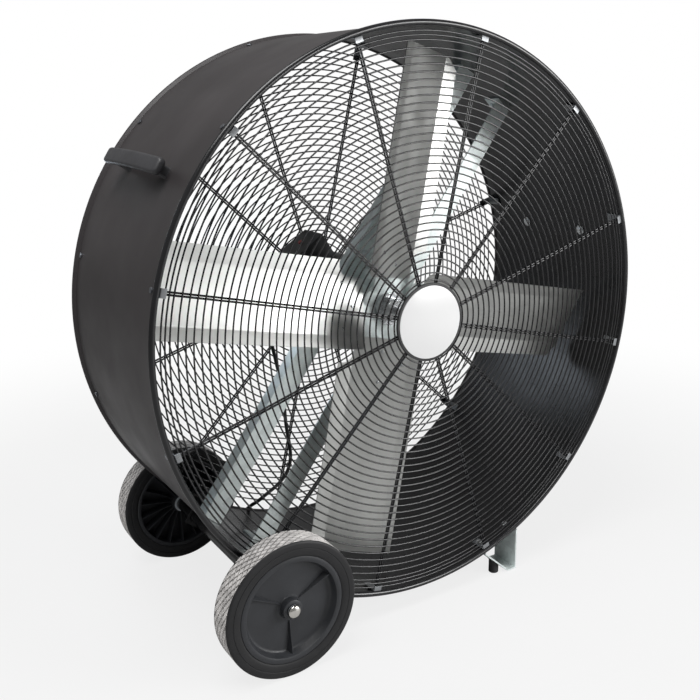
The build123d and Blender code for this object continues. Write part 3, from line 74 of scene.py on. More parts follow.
# ---- how finely round forms are cut, and how far edges are rounded ----
DRUM_STEPS = 288
RING_STEPS = 160
SMALL_RING = 0.3
SMALL_RING_STEPS = 96
WHEEL_STEPS = 144
BADGE_STEPS = 128
CAP_STEPS = 64
DISC_MIDDLE = 1e-7
THIN_ROUNDING = 0.0004
BOLT_ROUNDING = 0.0005
HUB_ROUNDING = 0.0006
SHAFT_ROUNDING = 0.0008
CAST_ROUNDING = 0.0010
CAN_ROUNDING = 0.0015
BLADE_FOLD_ANGLE = 12.0

# ---- drum and guards ----
DRUM_RADIUS = 0.540
DRUM_INNER = 0.538
HALF_DEPTH = 0.2175
BEAD_CENTRE = 0.5408
BEAD_FILLET = 0.0075
BEAD_START = 238
BEAD_TURN = 299
BEAD_STEPS = 20
SLEEVE_INNER = 0.5392
LINING_SEAM = -0.1
RING_PLANE = 0.2129
RING_PITCH = 0.01347
FRONT_RINGS = (0.527, 0.5195)
FRONT_OUTER_RING = 0.5114
REAR_OUTER_RING = 0.513
FRONT_INNER_LIMIT = 0.078
REAR_INNER_LIMIT = 0.060
FRONT_SPOKE = (0.052, 0.527)
REAR_SPOKE = (0.0605, 0.5149)
SPOKE_COUNT = 12
SPOKE_PHASE = 17.3
SPOKE_HALF_GAP = 0.0023
SPOKE_BEND_STEPS = 8
BADGE_RADIUS = 0.0705
BADGE_BACK = -0.2154
DISH_RADIUS = 0.0755
DISH_BACK = -0.2116
CLIP_WIDTH = 0.016
CLIP_SHEET = 0.0018
CLIP_LENGTH = 0.038
CLIP_REACH = 0.0105
CLIP_BACK_RADIUS = 0.5353
CLIP_FRONT = -0.21405

# ---- handles, in each one's own frame: along to the back, across round the drum, up off it ----
LEFT_HANDLE_ANGLE = 147.5
RIGHT_HANDLE_ANGLE = 12.7
GRIP_FRONT = -0.116
GRIP_BACK = 0.112
GRIP_FRONT_RISE = 0.0235
GRIP_BACK_RISE = 0.0290
LEFT_GRIP_TILT = 0.008
GRIP_ARCH = 0.0065
GRIP_END = 0.010
GRIP_END_SIZE = 0.45
GRIP_STATIONS = 28
GRIP_HALF_WIDTH = 0.015
GRIP_HALF_THICKNESS = 0.0075
GRIP_CORNER = 0.0058
LEG_PLACE = 0.087
LEG_CORNER = 0.0040
LEG_STATIONS = ((-0.0002, 0.0125, 0.0105), (0.0030, 0.0115, 0.0095))
LEG_TOP = (0.0145, 0.0095)

# ---- wheels ----
TYRE_RADIUS = 0.127
TYRE_HALF_WIDTH = 0.026
TYRE_INNER = 0.100
TREAD_HALF_WIDTH = 0.0222
BLOCK_ROWS = 4
BLOCK_GROOVE = 0.0019
BLOCK_SLOPE = 0.0007
GROOVE_ALONG = 1.4
SLOPE_ALONG = 1.3
BLOCK_SINK = 0.0004
OUTER_RIB_ANGLES = (270, 30, 150)
OUTER_RIB_FOOT = 0.0085
OUTER_RIB = ((0.0190, 0.0112, 0.0012), (0.0500, 0.0150, 0.0030), (0.0872, 0.0215, 0.0058))
INNER_RIBS = 18
INNER_RIB_PHASE = 10
INNER_RIB_FOOT = 0.0045
INNER_RIB = ((0.0195, -0.0160, 0.0011), (0.0450, -0.0150, 0.0011), (0.0920, -0.0225, 0.0011))
RIB_TIP = 0.0007
AXLE_HOLE = 0.00675
WASHER_SHEET = 0.0018
WASHER_BEVEL = 0.0003
WASHERS = ((0.2257, 0.018), (0.2799, 0.0112))
DOME_RADIUS = 0.0120
DOME_STEPS = 12
DOME_SHOULDER = 0.0018
DOME_RISE = 0.0060
CAP_DEPTH = 0.008

# ---- supply cord: gland, route's corners, which stretches are tied, coil, tail, plug ----
GLAND_ANGLE = 124.0
GLAND_OUT = 0.115
GLAND_ACROSS = 0.069
GLAND_BACK = 0.165
CORD_RADIUS = 0.004
CORD_ROUTE = [
    (-0.1545, 0.1650, 0.6252), (-0.1674, 0.1675, 0.6000), (-0.1649, 0.1725, 0.5630),
    (-0.1569, 0.1780, 0.5190), (-0.1439, 0.1815, 0.4730), (-0.1319, 0.1850, 0.4260),
    (-0.1199, 0.1885, 0.3810), (-0.1109, 0.1915, 0.3375), (-0.1080, 0.1935, 0.2960),
    (-0.1040, 0.1945, 0.2573), (-0.0969, 0.1950, 0.2211), (-0.0938, 0.1945, 0.1870),
    (-0.1037, 0.1935, 0.1533), (-0.1303, 0.1910, 0.1304), (-0.1604, 0.1890, 0.1165),
    (-0.1794, 0.1970, 0.0995), (-0.1924, 0.2185, 0.0815), (-0.2014, 0.2410, 0.0530),
    (-0.1874, 0.2570, 0.0265), (-0.1534, 0.2620, 0.0092), (-0.1094, 0.2580, 0.0045),
    (-0.0634, 0.2500, 0.0041), (-0.0114, 0.2450, 0.0044), (0.0446, 0.2420, 0.0041),
    (0.1006, 0.2404, 0.0044), (0.1566, 0.2395, 0.0041), (0.2126, 0.2403, 0.0044),
    (0.2686, 0.2397, 0.0041), (0.3186, 0.2403, 0.0044), (0.3537, 0.2400, 0.0041),
]
TIED_STRETCHES = (11, 3)
COIL_CENTRE = (0.38865, 0.294)
COIL_RADIUS = 0.0537
COIL_STEP = 0.01025
COIL_LAYER_STEP = 0.0095
COIL_HALF_TURNS = 5
COIL_POINTS_PER_HALF_TURN = 8
COIL_TIE_MIDDLE = Vector((COIL_CENTRE[0] + 0.0413, COIL_CENTRE[1], 0.00885))
COIL_TIE = (0.0180, 0.0100, 0.0050)
COIL_TIE_SQUASH = 0.765
COIL_TIE_RADIUS = 0.0011
TIE_SHEET = 0.0016
TIE_HALF_WIDTH = 0.0024
TIE_HEAD = (0.0022, 0.0030, 0.0006)
TIE_HEAD_OUT = 0.0065
TIE_HEAD_HALF_LENGTH = 0.0034
CORD_TAIL = [
    (0.3646, 0.3480, 0.0135), (0.3426, 0.3450, 0.0070), (0.3206, 0.3380, 0.0046),
    (0.2986, 0.3330, 0.0070), (0.2786, 0.3280, 0.0100),
]
PLUG_STATIONS = (
    (0.0, 0.0052, 0.0052, 0.0050), (0.003, 0.0062, 0.0062, 0.0058),
    (0.006, 0.0056, 0.0056, 0.0054), (0.008, 0.0066, 0.0066, 0.0060),
    (0.011, 0.0060, 0.0062, 0.0058), (0.013, 0.0075, 0.0090, 0.0060),
    (0.017, 0.0092, 0.0120, 0.0060), (0.030, 0.0098, 0.0130, 0.0055),
    (0.044, 0.0098, 0.0130, 0.0050), (0.0465, 0.0090, 0.0122, 0.0045),
    (0.0470, 0.0080, 0.0112, 0.0040))
PLUG_FACE = 0.046
PIN_SECTION = (0.00315, 0.00075, 0.0004)
PIN_PLACE = (0.002, 0.00635)
PIN_TIP = 0.0635
EARTH_RADIUS = 0.0024
EARTH_PLACE = -0.005
EARTH_TIP = 0.0655

# ---- finishes: the span of noise that a polish is spread over ----
NOISE_LOW = 0.3
NOISE_HIGH = 0.7

# ---- camera, as the photograph was taken ----
CAMERA_PLACE = (-1.00387, -1.51379, 0.99155)
CAMERA_WAY = (0.53492, 0.81572, -0.22018)
CAMERA_LENS = 45.92
CAMERA_SHIFT = (-0.02476, -0.06987)

# ---- stage ----
WHITE = (1.0, 1.0, 1.0)
COOL_WHITE = (0.80, 0.89, 1.0)
LAMPS = (
    ("front lamp", (1.95, -2.45, 1.15), (0.0, 0.0, 0.58), 1.4, 78.0, WHITE),
    ("top lamp", (-1.1, -0.6, 3.3), (0.0, 0.0, 0.5), 1.8, 84.0, WHITE),
    ("back lamp", (-0.42, 0.84, 0.76), (0.52, -0.1, 0.42), 0.34, 1.5, COOL_WHITE),
)
FLOOR_REACH = 14.0
FLOOR_GLOW = 0.80
FADE_START = 0.8
FADE_END = 2.2
ROOM_LIGHT = 0.27


# ---------------------------------------------------------------- settings


def length_property(name, description, default, least):
    """A length that a user may change."""
    return FloatProperty(
        name=name, description=description, default=default, min=least, unit="LENGTH")


def colour_property(name, description, default):
    """A colour that a user may change."""
    return FloatVectorProperty(
        name=name, description=description, default=default, min=0.0, max=1.0, size=3,
        subtype="COLOR")


class DRUMFAN_PG_sizes(PropertyGroup):
    """Sizes that a user may change before building."""

    ring_wire: length_property(
        "Ring wire", "Thickness of the guards' ring wires", 0.0030, 0.001)
    spoke_wire: length_property(
        "Spoke wire", "Thickness of the guards' doubled radial wires", 0.0038, 0.001)
    bead_radius: length_property(
        "Rolled edge", "Radius of the edge rolled round each end of the drum", 0.0055, 0.001)
    tread_depth: length_property(
        "Tread depth", "Depth of the grooves between the tyres' blocks", 0.0030, 0.0005)
    tread_blocks: IntProperty(
        name="Tread blocks", description="Diamond blocks round each tyre", default=42, min=12)
    edge_rounding: length_property(
        "Edge rounding", "Rounding of pressed and moulded edges", 0.0008, 0.0001)


class DRUMFAN_PG_colours(PropertyGroup):
    """Colours of the fan's finishes."""

    drum_paint: colour_property(
        "Drum paint", "Satin coat outside the drum", (0.040, 0.036, 0.037))
    # Painted shade: the lining is the drum's black paint set much darker for the shade inside the
    # drum.
    lining_paint: colour_property(
        "Lining paint", "Gloss coat on the rims and inside", (0.008, 0.008, 0.009))
    guard_paint: colour_property(
        "Guard paint", "Gloss coat on the wire guards", (0.006, 0.006, 0.007))
    zinc: colour_property(
        "Zinc", "Galvanised struts, plate and feet", (0.76, 0.82, 0.81))
    dark_zinc: colour_property(
        "Dark zinc", "Screws through the drum's wall", (0.20, 0.21, 0.23))
    bright_zinc: colour_property(
        "Bright zinc", "Plated bolts, rivets and hub", (0.66, 0.68, 0.69))
    blade_steel: colour_property(
        "Blade steel", "Galvanised sheet of the blades", (0.66, 0.665, 0.645))
    motor_paint: colour_property(
        "Motor paint", "Black paint on the motor, tube and box", (0.016, 0.016, 0.017))
    wheel_plastic: colour_property(
        "Wheel plastic", "Moulded wheel rims", (0.021, 0.0225, 0.026))
    tyre_rubber: colour_property(
        "Tyre rubber", "Solid rubber of the tyres", (0.014, 0.014, 0.015))
    # The tread blocks are coloured pale grey against the near-black tyre beneath them.
    tread_dust: colour_property(
        "Tread dust", "Worn crowns of the tread blocks", (0.62, 0.60, 0.585))
    handle_plastic: colour_property(
        "Handle plastic", "Moulded handles", (0.034, 0.034, 0.037))
    cord_rubber: colour_property(
        "Cord rubber", "Jacket of the supply cord and its plug", (0.014, 0.014, 0.014))
    badge_face: colour_property(
        "Badge face", "Plain round badge", (0.74, 0.74, 0.74))
    reset_red: colour_property(
        "Reset button", "Button of the thermal cut-out", (0.50, 0.03, 0.02))


class DRUMFAN_PG_settings(PropertyGroup):
    """All settings of the fan."""

    sizes: PointerProperty(type=DRUMFAN_PG_sizes)
    colours: PointerProperty(type=DRUMFAN_PG_colours)


def sizes():
    """The sizes set in the scene."""
    return bpy.context.scene.drum_fan.sizes


def colours():
    """The colours set in the scene."""
    return bpy.context.scene.drum_fan.colours


# ---------------------------------------------------------------- forms


def ways(degrees):
    """The direction out from the drum's axis at an angle, and the one round the axis there."""
    turn = math.radians(degrees)
    out = Vector((math.cos(turn), 0.0, math.sin(turn)))
    return out, Vector((-out.z, 0.0, out.x))


def polar(radius, degrees, y=0.0, centre=AXIS):
    """The point at a radius and an angle about a line along Y."""
    turn = math.radians(degrees)
    return centre + Vector((radius * math.cos(turn), y, radius * math.sin(turn)))


def wall_frame(radius, degrees, centre=AXIS):
    """A frame square to a radius: x to the back, y round the drum, z outward."""
    return frame_of(polar(radius, degrees, 0.0, centre), (0.0, 1.0, 0.0), ways(degrees)[0])


def frame_of(origin, x_way, z_way):
    """A frame from its origin, x direction and z direction."""
    z_way = Vector(z_way).normalized()
    y_way = z_way.cross(Vector(x_way)).normalized()
    x_way = y_way.cross(z_way)
    frame = Matrix((x_way, y_way, z_way)).transposed().to_4x4()
    frame.translation = Vector(origin)
    return frame


def circle(radius, sides):
    """A round outline as (x, y) points."""
    turns = [2 * math.pi * i / sides for i in range(sides)]
    return [(radius * math.cos(turn), radius * math.sin(turn)) for turn in turns]


def rounded_rectangle(half_x, half_y, corner, steps=5):
    """A rectangle's outline with round corners."""
    points = []
    for quarter, (sx, sy) in enumerate(((1, 1), (-1, 1), (-1, -1), (1, -1))):
        for i in range(steps):
            turn = math.radians(90 * (quarter + i / (steps - 1)))
            points.append((sx * (half_x - corner) + corner * math.cos(turn),
                           sy * (half_y - corner) + corner * math.sin(turn)))
    return points


class Form:
    """Corners and faces gathered for one piece."""

    def __init__(self):
        self.corners = []
        self.faces = []

    def add(self, corners, faces):
        """Adds a shape whose faces count its own corners."""
        start = len(self.corners)
        self.corners += [Vector(corner) for corner in corners]
        self.faces += [tuple(start + i for i in face) for face in faces]

    def revolve(self, outline, steps, centre=AXIS):
        """Turns a closed (radius, y) outline about a line along Y."""
        count = len(outline)
        corners = []
        faces = []
        for i in range(steps):
            here = i * count
            there = (i + 1) % steps * count
            for k, (radius, y) in enumerate(outline):
                after = (k + 1) % count
                corners.append(polar(radius, 360 * i / steps, y, centre))
                faces.append((here + k, there + k, there + after, here + after))
        self.add(corners, faces)

    def prism(self, frame, outline, low, high):
        """An outline in a frame's x and y, drawn out from one height to another."""
        self.loft([[frame @ Vector((x, y, z)) for x, y in outline] for z in (low, high)])

    def loft(self, sections):
        """Skins a row of outlines with the same count of corners, and closes both ends."""
        count = len(sections[0])
        corners = [corner for section in sections for corner in section]
        faces = [tuple(reversed(range(count)))]
        for k in range(len(sections) - 1):
            here = k * count
            for i in range(count):
                after = (i + 1) % count
                faces.append((here + i, here + after, here + count + after, here + count + i))
        last = (len(sections) - 1) * count
        faces.append(tuple(range(last, last + count)))
        self.add(corners, faces)

    def tube(self, points, radius, sides=8):
        """A round tube along points, closed at both ends."""
        points = [Vector(point) for point in points]
        ends = [points[0], *points, points[-1]]
        side = (points[1] - points[0]).normalized().orthogonal().normalized()
        sections = []
        for before, point, after in zip(ends, points, ends[2:]):
            way = (after - before).normalized()
            side = (side - way * side.dot(way)).normalized()
            up = way.cross(side)
            sections.append([point + (side * x + up * y) * radius for x, y in circle(1.0, sides)])
        self.loft(sections)

    def piece(self, name, look, replaced=(), smooth_below=35.0, body="housing"):
        """Makes the mesh object, cleaned, shaded, finished and riding on its body."""
        mesh = bpy.data.meshes.new(name)
        mesh.from_pydata(self.corners, [], self.faces)
        work = bmesh.new()
        work.from_mesh(mesh)
        bmesh.ops.remove_doubles(work, verts=work.verts, dist=1e-6)
        bmesh.ops.dissolve_degenerate(work, dist=1e-7, edges=work.edges)
        bmesh.ops.recalc_face_normals(work, faces=work.faces)
        work.to_mesh(mesh)
        work.free()
        made = linked(name, mesh)
        shade(made, smooth_below)
        put_on(made, body, look, replaced)
        return made


def linked(name, data):
    """A new object for some data, in the scene."""
    made = bpy.data.objects.new(name, data)
    bpy.context.scene.collection.objects.link(made)
    return made


def aim(made, place, way):
    """Puts a lamp or the camera at a place, looking along a way."""
    made.location = place
    made.rotation_mode = "QUATERNION"
    made.rotation_quaternion = Vector(way).to_track_quat("-Z", "Y")


def shade(made, smooth_below):
    """Smooth shading, but for edges sharper than an angle."""
    mesh = made.data
    mesh.polygons.foreach_set("use_smooth", [True] * len(mesh.polygons))
    mesh.set_sharp_from_angle(angle=math.radians(smooth_below))


def put_on(made, body, look, replaced=()):
    """Gives a new piece its finish and its body, and hides the nodes that it replaces."""
    made.data.materials.clear()
    made.data.materials.append(finish(look))
    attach(made, body)
    if replaced:
        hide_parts(*replaced)


def round_edges(made, width):
    """Rounds the hard edges of a piece."""
    rounding = made.modifiers.new("edges", "BEVEL")
    rounding.width = width
    rounding.segments = 2
    rounding.limit_method = "ANGLE"
    rounding.angle_limit = math.radians(32.0)
    rounding.harden_normals = True
    rounding.use_clamp_overlap = True


def dress(node, look, rounding=0.0, smooth_below=35.0):
    """Gives a carried-over node its finish, and rounds its edges."""
    made = NODES[node]
    mesh = made.data
    mesh.materials.clear()
    mesh.materials.append(finish(look))
    if "custom_normal" in mesh.attributes:
        mesh.attributes.remove(mesh.attributes["custom_normal"])
    if rounding:
        weld = made.modifiers.new("weld", "WELD")
        weld.merge_threshold = 1e-6
        round_edges(made, rounding)
        mesh.polygons.foreach_set("use_smooth", [True] * len(mesh.polygons))
    else:
        shade(made, smooth_below)


def dress_all(*rows):
    """Dresses rows of a finish, a rounding (None is the panel's) and nodes; ends an execute."""
    for look, rounding, *nodes in rows:
        for node in nodes:
            dress(node, look, sizes().edge_rounding if rounding is None else rounding)
    return {"FINISHED"}


# ---------------------------------------------------------------- finishes


def add_node(tree, kind, inputs, **settings):
    """A new node, each input set to a value or fed from another node's output."""
    made = tree.nodes.new(kind)
    for name, value in settings.items():
        setattr(made, name, value)
    for name, value in inputs.items():
        if isinstance(value, bpy.types.NodeSocket):
            tree.links.new(value, made.inputs[name])
        else:
            made.inputs[name].default_value = value
    return made


class Finish:
    """A node material, built up from noise, tints and bumps."""

    def __init__(self, name, colour, roughness, metallic=0.0, specular=0.5):
        self.material = bpy.data.materials.new(name)
        self.material.use_nodes = True
        self.material.diffuse_color = (*colour, 1.0)
        self.tree = self.material.node_tree
        self.shader = self.tree.nodes["Principled BSDF"]
        self.shader.inputs["Base Color"].default_value = (*colour, 1.0)
        self.shader.inputs["Roughness"].default_value = roughness
        self.shader.inputs["Metallic"].default_value = metallic
        self.shader.inputs["Specular IOR Level"].default_value = specular
        self.place = add_node(self.tree, "ShaderNodeTexCoord", {}).outputs["Object"]

    def pattern(self, kind):
        """Cells where only a scale is given, or else noise."""
        return self.cells(kind) if isinstance(kind, float) else self.noise(*kind)

    def noise(self, scale, detail=4.0, stretch=(1.0, 1.0, 1.0)):
        """Soft mottling, drawn out along the stretched axes."""
        mapping = add_node(
            self.tree, "ShaderNodeMapping", {"Vector": self.place, "Scale": stretch})
        noise = add_node(self.tree, "ShaderNodeTexNoise", {
            "Vector": mapping.outputs["Vector"], "Scale": scale, "Detail": detail})
        return noise.outputs["Fac"]

    def cells(self, scale):
        """Patches of one value each, like the crystals of a zinc coat."""
        cells = add_node(self.tree, "ShaderNodeTexVoronoi", {"Vector": self.place, "Scale": scale})
        split = add_node(
            self.tree, "ShaderNodeSeparateColor", {"Color": cells.outputs["Color"]})
        return split.outputs["Red"]

    def tint(self, source, dark, light, low=0.35, high=0.65):
        """Colours the surface from one tone to another."""
        ramp = add_node(self.tree, "ShaderNodeValToRGB", {"Fac": source})
        for end, place, tone in zip(ramp.color_ramp.elements, (low, high), (dark, light)):
            end.position = place
            end.color = (*tone, 1.0)
        self.tree.links.new(ramp.outputs["Color"], self.shader.inputs["Base Color"])

    def polish(self, source, smooth, rough):
        """Varies the roughness."""
        spread = add_node(self.tree, "ShaderNodeMapRange", {
            "Value": source, "From Min": NOISE_LOW, "From Max": NOISE_HIGH,
            "To Min": smooth, "To Max": rough})
        self.tree.links.new(spread.outputs["Result"], self.shader.inputs["Roughness"])

    def bump(self, source, strength, depth):
        """Raises and sinks the surface; several can follow one another."""
        bump = add_node(self.tree, "ShaderNodeBump", {
            "Height": source, "Strength": strength, "Distance": depth})
        before = self.shader.inputs["Normal"].links
        if before:
            self.tree.links.new(before[0].from_socket, bump.inputs["Normal"])
        self.tree.links.new(bump.outputs["Normal"], self.shader.inputs["Normal"])


def toned(colour, share):
    """A colour made darker or lighter by a share."""
    return tuple(min(1.0, max(0.0, part * share)) for part in colour)


def coat(name, colour, roughness, metallic=0.0, specular=0.5, tint=None, polish=None, bumps=()):
    """One finish: its base, then the patterns of its tone, of its polish and of its relief.

    The colour is one of the panel's by name, or is given. Each pattern is a cell scale, or
    noise as (scale, detail, stretch); a tint's two tones are shares of the colour, or given.
    """
    if isinstance(colour, str):
        colour = tuple(getattr(colours(), colour))
    made = Finish(name, colour, roughness, metallic, specular)
    if tint:
        pattern, dark, light, *ends = tint
        tones = [tone if isinstance(tone, tuple) else toned(colour, tone) for tone in (dark, light)]
        made.tint(made.pattern(pattern), *tones, *ends)
    if polish:
        pattern, smooth, rough = polish
        made.polish(made.pattern(pattern), smooth, rough)
    for pattern, strength, depth in bumps:
        made.bump(made.pattern(pattern), strength, depth)
    return made.material


def galvanised(name, colour, roughness, scale):
    """Zinc-dipped sheet: crystals of slightly different grey, with faint streaks."""
    return coat(name, colour, roughness, 0.55, tint=(scale, 0.90, 1.08, 0.0, 1.0),
                polish=((30.0, 2.0), roughness - 0.08, roughness + 0.10),
                bumps=[((500.0, 3.0), 0.05, 0.0004)])


def moulded(name, colour, roughness, grain):
    """Moulded plastic or rubber with a fine eroded grain."""
    return coat(name, colour, roughness, tint=((25.0, 4.0), 0.88, 1.15),
                polish=((80.0, 4.0), roughness - 0.06, roughness + 0.08),
                bumps=[((grain, 3.0), 0.12, 0.0004)])


FINISHES = {
    # drum and guards
    "powder": partial(
        coat, "satin powder coat", "drum_paint", 0.42, specular=0.28,
        tint=((5.0, 3.0), 0.86, 1.14), polish=((9.0, 5.0), 0.36, 0.48),
        bumps=[((1400.0, 2.0), 0.10, 0.0004), ((14.0, 2.0), 0.05, 0.004)]),
    # Painted shade: the lining's colour is the drum paint made darker for the shade inside the
    # drum.
    "lining": partial(
        coat, "gloss lining coat", "lining_paint", 0.24,
        tint=((6.0, 3.0), 0.8, 1.3), polish=((11.0, 4.0), 0.19, 0.30),
        bumps=[((900.0, 2.0), 0.05, 0.0003), ((5.0, 2.0, (1.0, 0.25, 1.0)), 0.16, 0.004)]),
    "wire": partial(
        coat, "gloss wire coat", "guard_paint", 0.2, specular=0.6,
        tint=((60.0,), 0.8, 1.5), polish=((120.0,), 0.15, 0.26),
        bumps=[((900.0, 2.0), 0.08, 0.0003)]),
    # sheet metal
    "zinc": partial(galvanised, "galvanised sheet", "zinc", 0.44, 70.0),
    "strap": partial(galvanised, "zinc strap", (0.27, 0.28, 0.29), 0.32, 40.0),
    "washer": partial(galvanised, "pale zinc washer", (0.62, 0.66, 0.70), 0.36, 60.0),
    "blade": partial(
        coat, "rolled blade sheet", "blade_steel", 0.34, 0.78,
        tint=((18.0, 2.0, (1.0, 1.0, 0.35)), 0.92, 1.06, 0.3, 0.7),
        polish=((26.0, 2.0), 0.28, 0.38),
        bumps=[((8.0, 2.0), 0.12, 0.004), ((700.0, 2.0), 0.04, 0.0003)]),
    # fasteners and turned pieces
    "plated": partial(
        coat, "bright zinc plate", "bright_zinc", 0.26, 0.9,
        tint=((70.0, 2.0), 0.93, 1.05), polish=((90.0, 2.0), 0.20, 0.32),
        bumps=[((600.0, 2.0), 0.03, 0.0002)]),
    "dulled": partial(
        coat, "darkened plate", "dark_zinc", 0.34, 0.9,
        tint=((80.0, 2.0), 0.85, 1.15), polish=((90.0, 2.0), 0.26, 0.40),
        bumps=[((600.0, 2.0), 0.04, 0.0002)]),
    "steel": partial(
        coat, "turned steel", (0.56, 0.56, 0.57), 0.28, 1.0,
        polish=((240.0, 4.0, (1.0, 8.0, 1.0)), 0.2, 0.38),
        bumps=[((600.0, 2.0, (1.0, 10.0, 1.0)), 0.06, 0.0003)]),
    "cap": partial(
        coat, "bright axle cap", (0.66, 0.64, 0.60), 0.17, 1.0,
        tint=((40.0, 2.0), (0.63, 0.61, 0.57), (0.69, 0.67, 0.63)),
        polish=((50.0, 2.0), 0.14, 0.20), bumps=[((500.0, 2.0), 0.02, 0.0001)]),
    # motor and axle tube
    "enamel": partial(
        coat, "black enamel", "motor_paint", 0.36,
        tint=((40.0, 5.0), 0.8, 1.4), polish=((60.0,), 0.3, 0.44),
        bumps=[((700.0, 2.0), 0.08, 0.0004)]),
    "gloss": partial(
        coat, "gloss black paint", "motor_paint", 0.16,
        tint=((30.0, 3.0), 0.6, 1.1), polish=((50.0,), 0.12, 0.22),
        bumps=[((300.0, 2.0), 0.04, 0.0003)]),
    # wheels
    "rim": partial(moulded, "moulded wheel rim", "wheel_plastic", 0.46, 700.0),
    "tyre": partial(
        coat, "tyre rubber", "tyre_rubber", 0.52, specular=0.35,
        tint=((30.0, 3.0), 0.9, 1.15), polish=((60.0,), 0.46, 0.58),
        bumps=[((1200.0, 3.0), 0.08, 0.0003)]),
    # The tread blocks are pale grey, against the near-black tyre.
    "tread": partial(
        coat, "worn tread", "tread_dust", 0.7,
        tint=((60.0, 3.0), 0.75, 1.2), polish=((140.0,), 0.55, 0.75),
        bumps=[((900.0, 3.0), 0.1, 0.0003)]),
    # fittings and cord
    "handle": partial(moulded, "moulded handle", "handle_plastic", 0.44, 1100.0),
    "bakelite": partial(moulded, "black fittings", (0.02, 0.02, 0.021), 0.5, 900.0),
    "cord": partial(moulded, "cord jacket", "cord_rubber", 0.46, 800.0),
    "bumper": partial(moulded, "foot bumper rubber", (0.016, 0.016, 0.017), 0.62, 900.0),
    "red": partial(moulded, "red button", "reset_red", 0.3, 500.0),
    "badge": partial(
        coat, "badge enamel", "badge_face", 0.22,
        tint=((12.0, 3.0), 0.985, 1.01), polish=((40.0,), 0.16, 0.26)),
    # inside the motor
    "lamination": partial(
        coat, "stacked laminations", (0.24, 0.24, 0.25), 0.5, 0.8,
        bumps=[((900.0, 1.0, (0.05, 1.0, 0.05)), 0.4, 0.0006)]),
    "copper": partial(
        coat, "varnished copper", (0.42, 0.17, 0.07), 0.35, 0.9,
        bumps=[((500.0, 2.0, (0.3, 3.0, 0.3)), 0.5, 0.0010)]),
}
MADE = {}


def finish(key):
    """The finish of that name, made once."""
    if key not in MADE:
        MADE[key] = FINISHES[key]()
    return MADE[key]


# ---------------------------------------------------------------- pieces


def rolled_edge():
    """The back end's rolled edge, from the inner wall round to the outer, as (radius, y)."""
    bead = sizes().bead_radius
    bead_y = HALF_DEPTH - bead
    turns = [math.radians(BEAD_START - BEAD_TURN * i / BEAD_STEPS) for i in range(BEAD_STEPS + 1)]
    return [(BEAD_CENTRE + bead * math.cos(t), bead_y + bead * math.sin(t)) for t in turns]


class DRUMFAN_OT_drum(Operator):
    """Rolls the drum: a satin wall, and a gloss lining with the front edge, painted darker than the
    wall as shade
    """

    bl_idname = "drumfan.drum"
    bl_label = "Drum"

    def execute(self, context):
        reach = HALF_DEPTH - sizes().bead_radius - BEAD_FILLET
        back = rolled_edge()
        front = [(radius, -y) for radius, y in reversed(back)]
        # The lining is painted darker than the wall, as the shade inside the drum.
        lining = Form()
        lining.revolve(front + [(DRUM_INNER, LINING_SEAM), (DRUM_INNER, back[0][1]),
                                (SLEEVE_INNER, reach), (SLEEVE_INNER, -reach)], DRUM_STEPS)
        lining.piece("drum_lining", "lining", ["drum_beads"], 50.0)
        wall = Form()
        wall.revolve([(SLEEVE_INNER, -reach), (DRUM_RADIUS, -reach), (DRUM_RADIUS, reach),
                      *reversed(back), (SLEEVE_INNER, reach)], DRUM_STEPS)
        wall.piece("drum_wall", "powder", ["drum_shell"], 50.0)
        return {"FINISHED"}


def ring_radii(outer, limit):
    """Even ring radii from the rim inward."""
    radii = []
    radius = outer
    while radius > limit:
        radii.append(radius)
        radius -= RING_PITCH
    return radii


def hairpin(form, inner, outer, degrees, y):
    """One doubled radial wire, turned back on itself at the rim."""
    out, round_way = ways(degrees)
    middle = AXIS + Vector((0.0, y, 0.0))
    gap = SPOKE_HALF_GAP
    points = [middle + out * inner + round_way * gap]
    for i in range(SPOKE_BEND_STEPS + 1):
        bend = math.pi / 2 - math.pi * i / SPOKE_BEND_STEPS
        reach = outer - gap + gap * math.cos(bend)
        points.append(middle + out * reach + round_way * gap * math.sin(bend))
    points.append(middle + out * inner - round_way * gap)
    form.tube(points, sizes().spoke_wire / 2)


def guard(name, node, radii, spoke, side):
    """A wire guard: rings outside, doubled radial wires inside."""
    form = Form()
    spoke_plane = RING_PLANE - (sizes().ring_wire + sizes().spoke_wire) / 2
    section = circle(sizes().ring_wire / 2, 10)
    for radius in radii:
        outline = [(radius + x, side * RING_PLANE + y) for x, y in section]
        form.revolve(outline, RING_STEPS if radius > SMALL_RING else SMALL_RING_STEPS)
    for i in range(SPOKE_COUNT):
        hairpin(form, *spoke, SPOKE_PHASE + i * 360 / SPOKE_COUNT, side * spoke_plane)
    form.piece(name, "wire", [node], 60.0)


class DRUMFAN_OT_front_guard(Operator):
    """Bends and welds the front guard's wires"""

    bl_idname = "drumfan.front_guard"
    bl_label = "Front guard"

    def execute(self, context):
        radii = [*FRONT_RINGS, *ring_radii(FRONT_OUTER_RING, FRONT_INNER_LIMIT)]
        guard("front_guard_wires", "front_guard", radii, FRONT_SPOKE, -1)
        return {"FINISHED"}


class DRUMFAN_OT_rear_guard(Operator):
    """Bends and welds the rear guard's wires"""

    bl_idname = "drumfan.rear_guard"
    bl_label = "Rear guard"

    def execute(self, context):
        radii = ring_radii(REAR_OUTER_RING, REAR_INNER_LIMIT)
        guard("rear_guard_wires", "rear_guard", radii, REAR_SPOKE, 1)
        return {"FINISHED"}


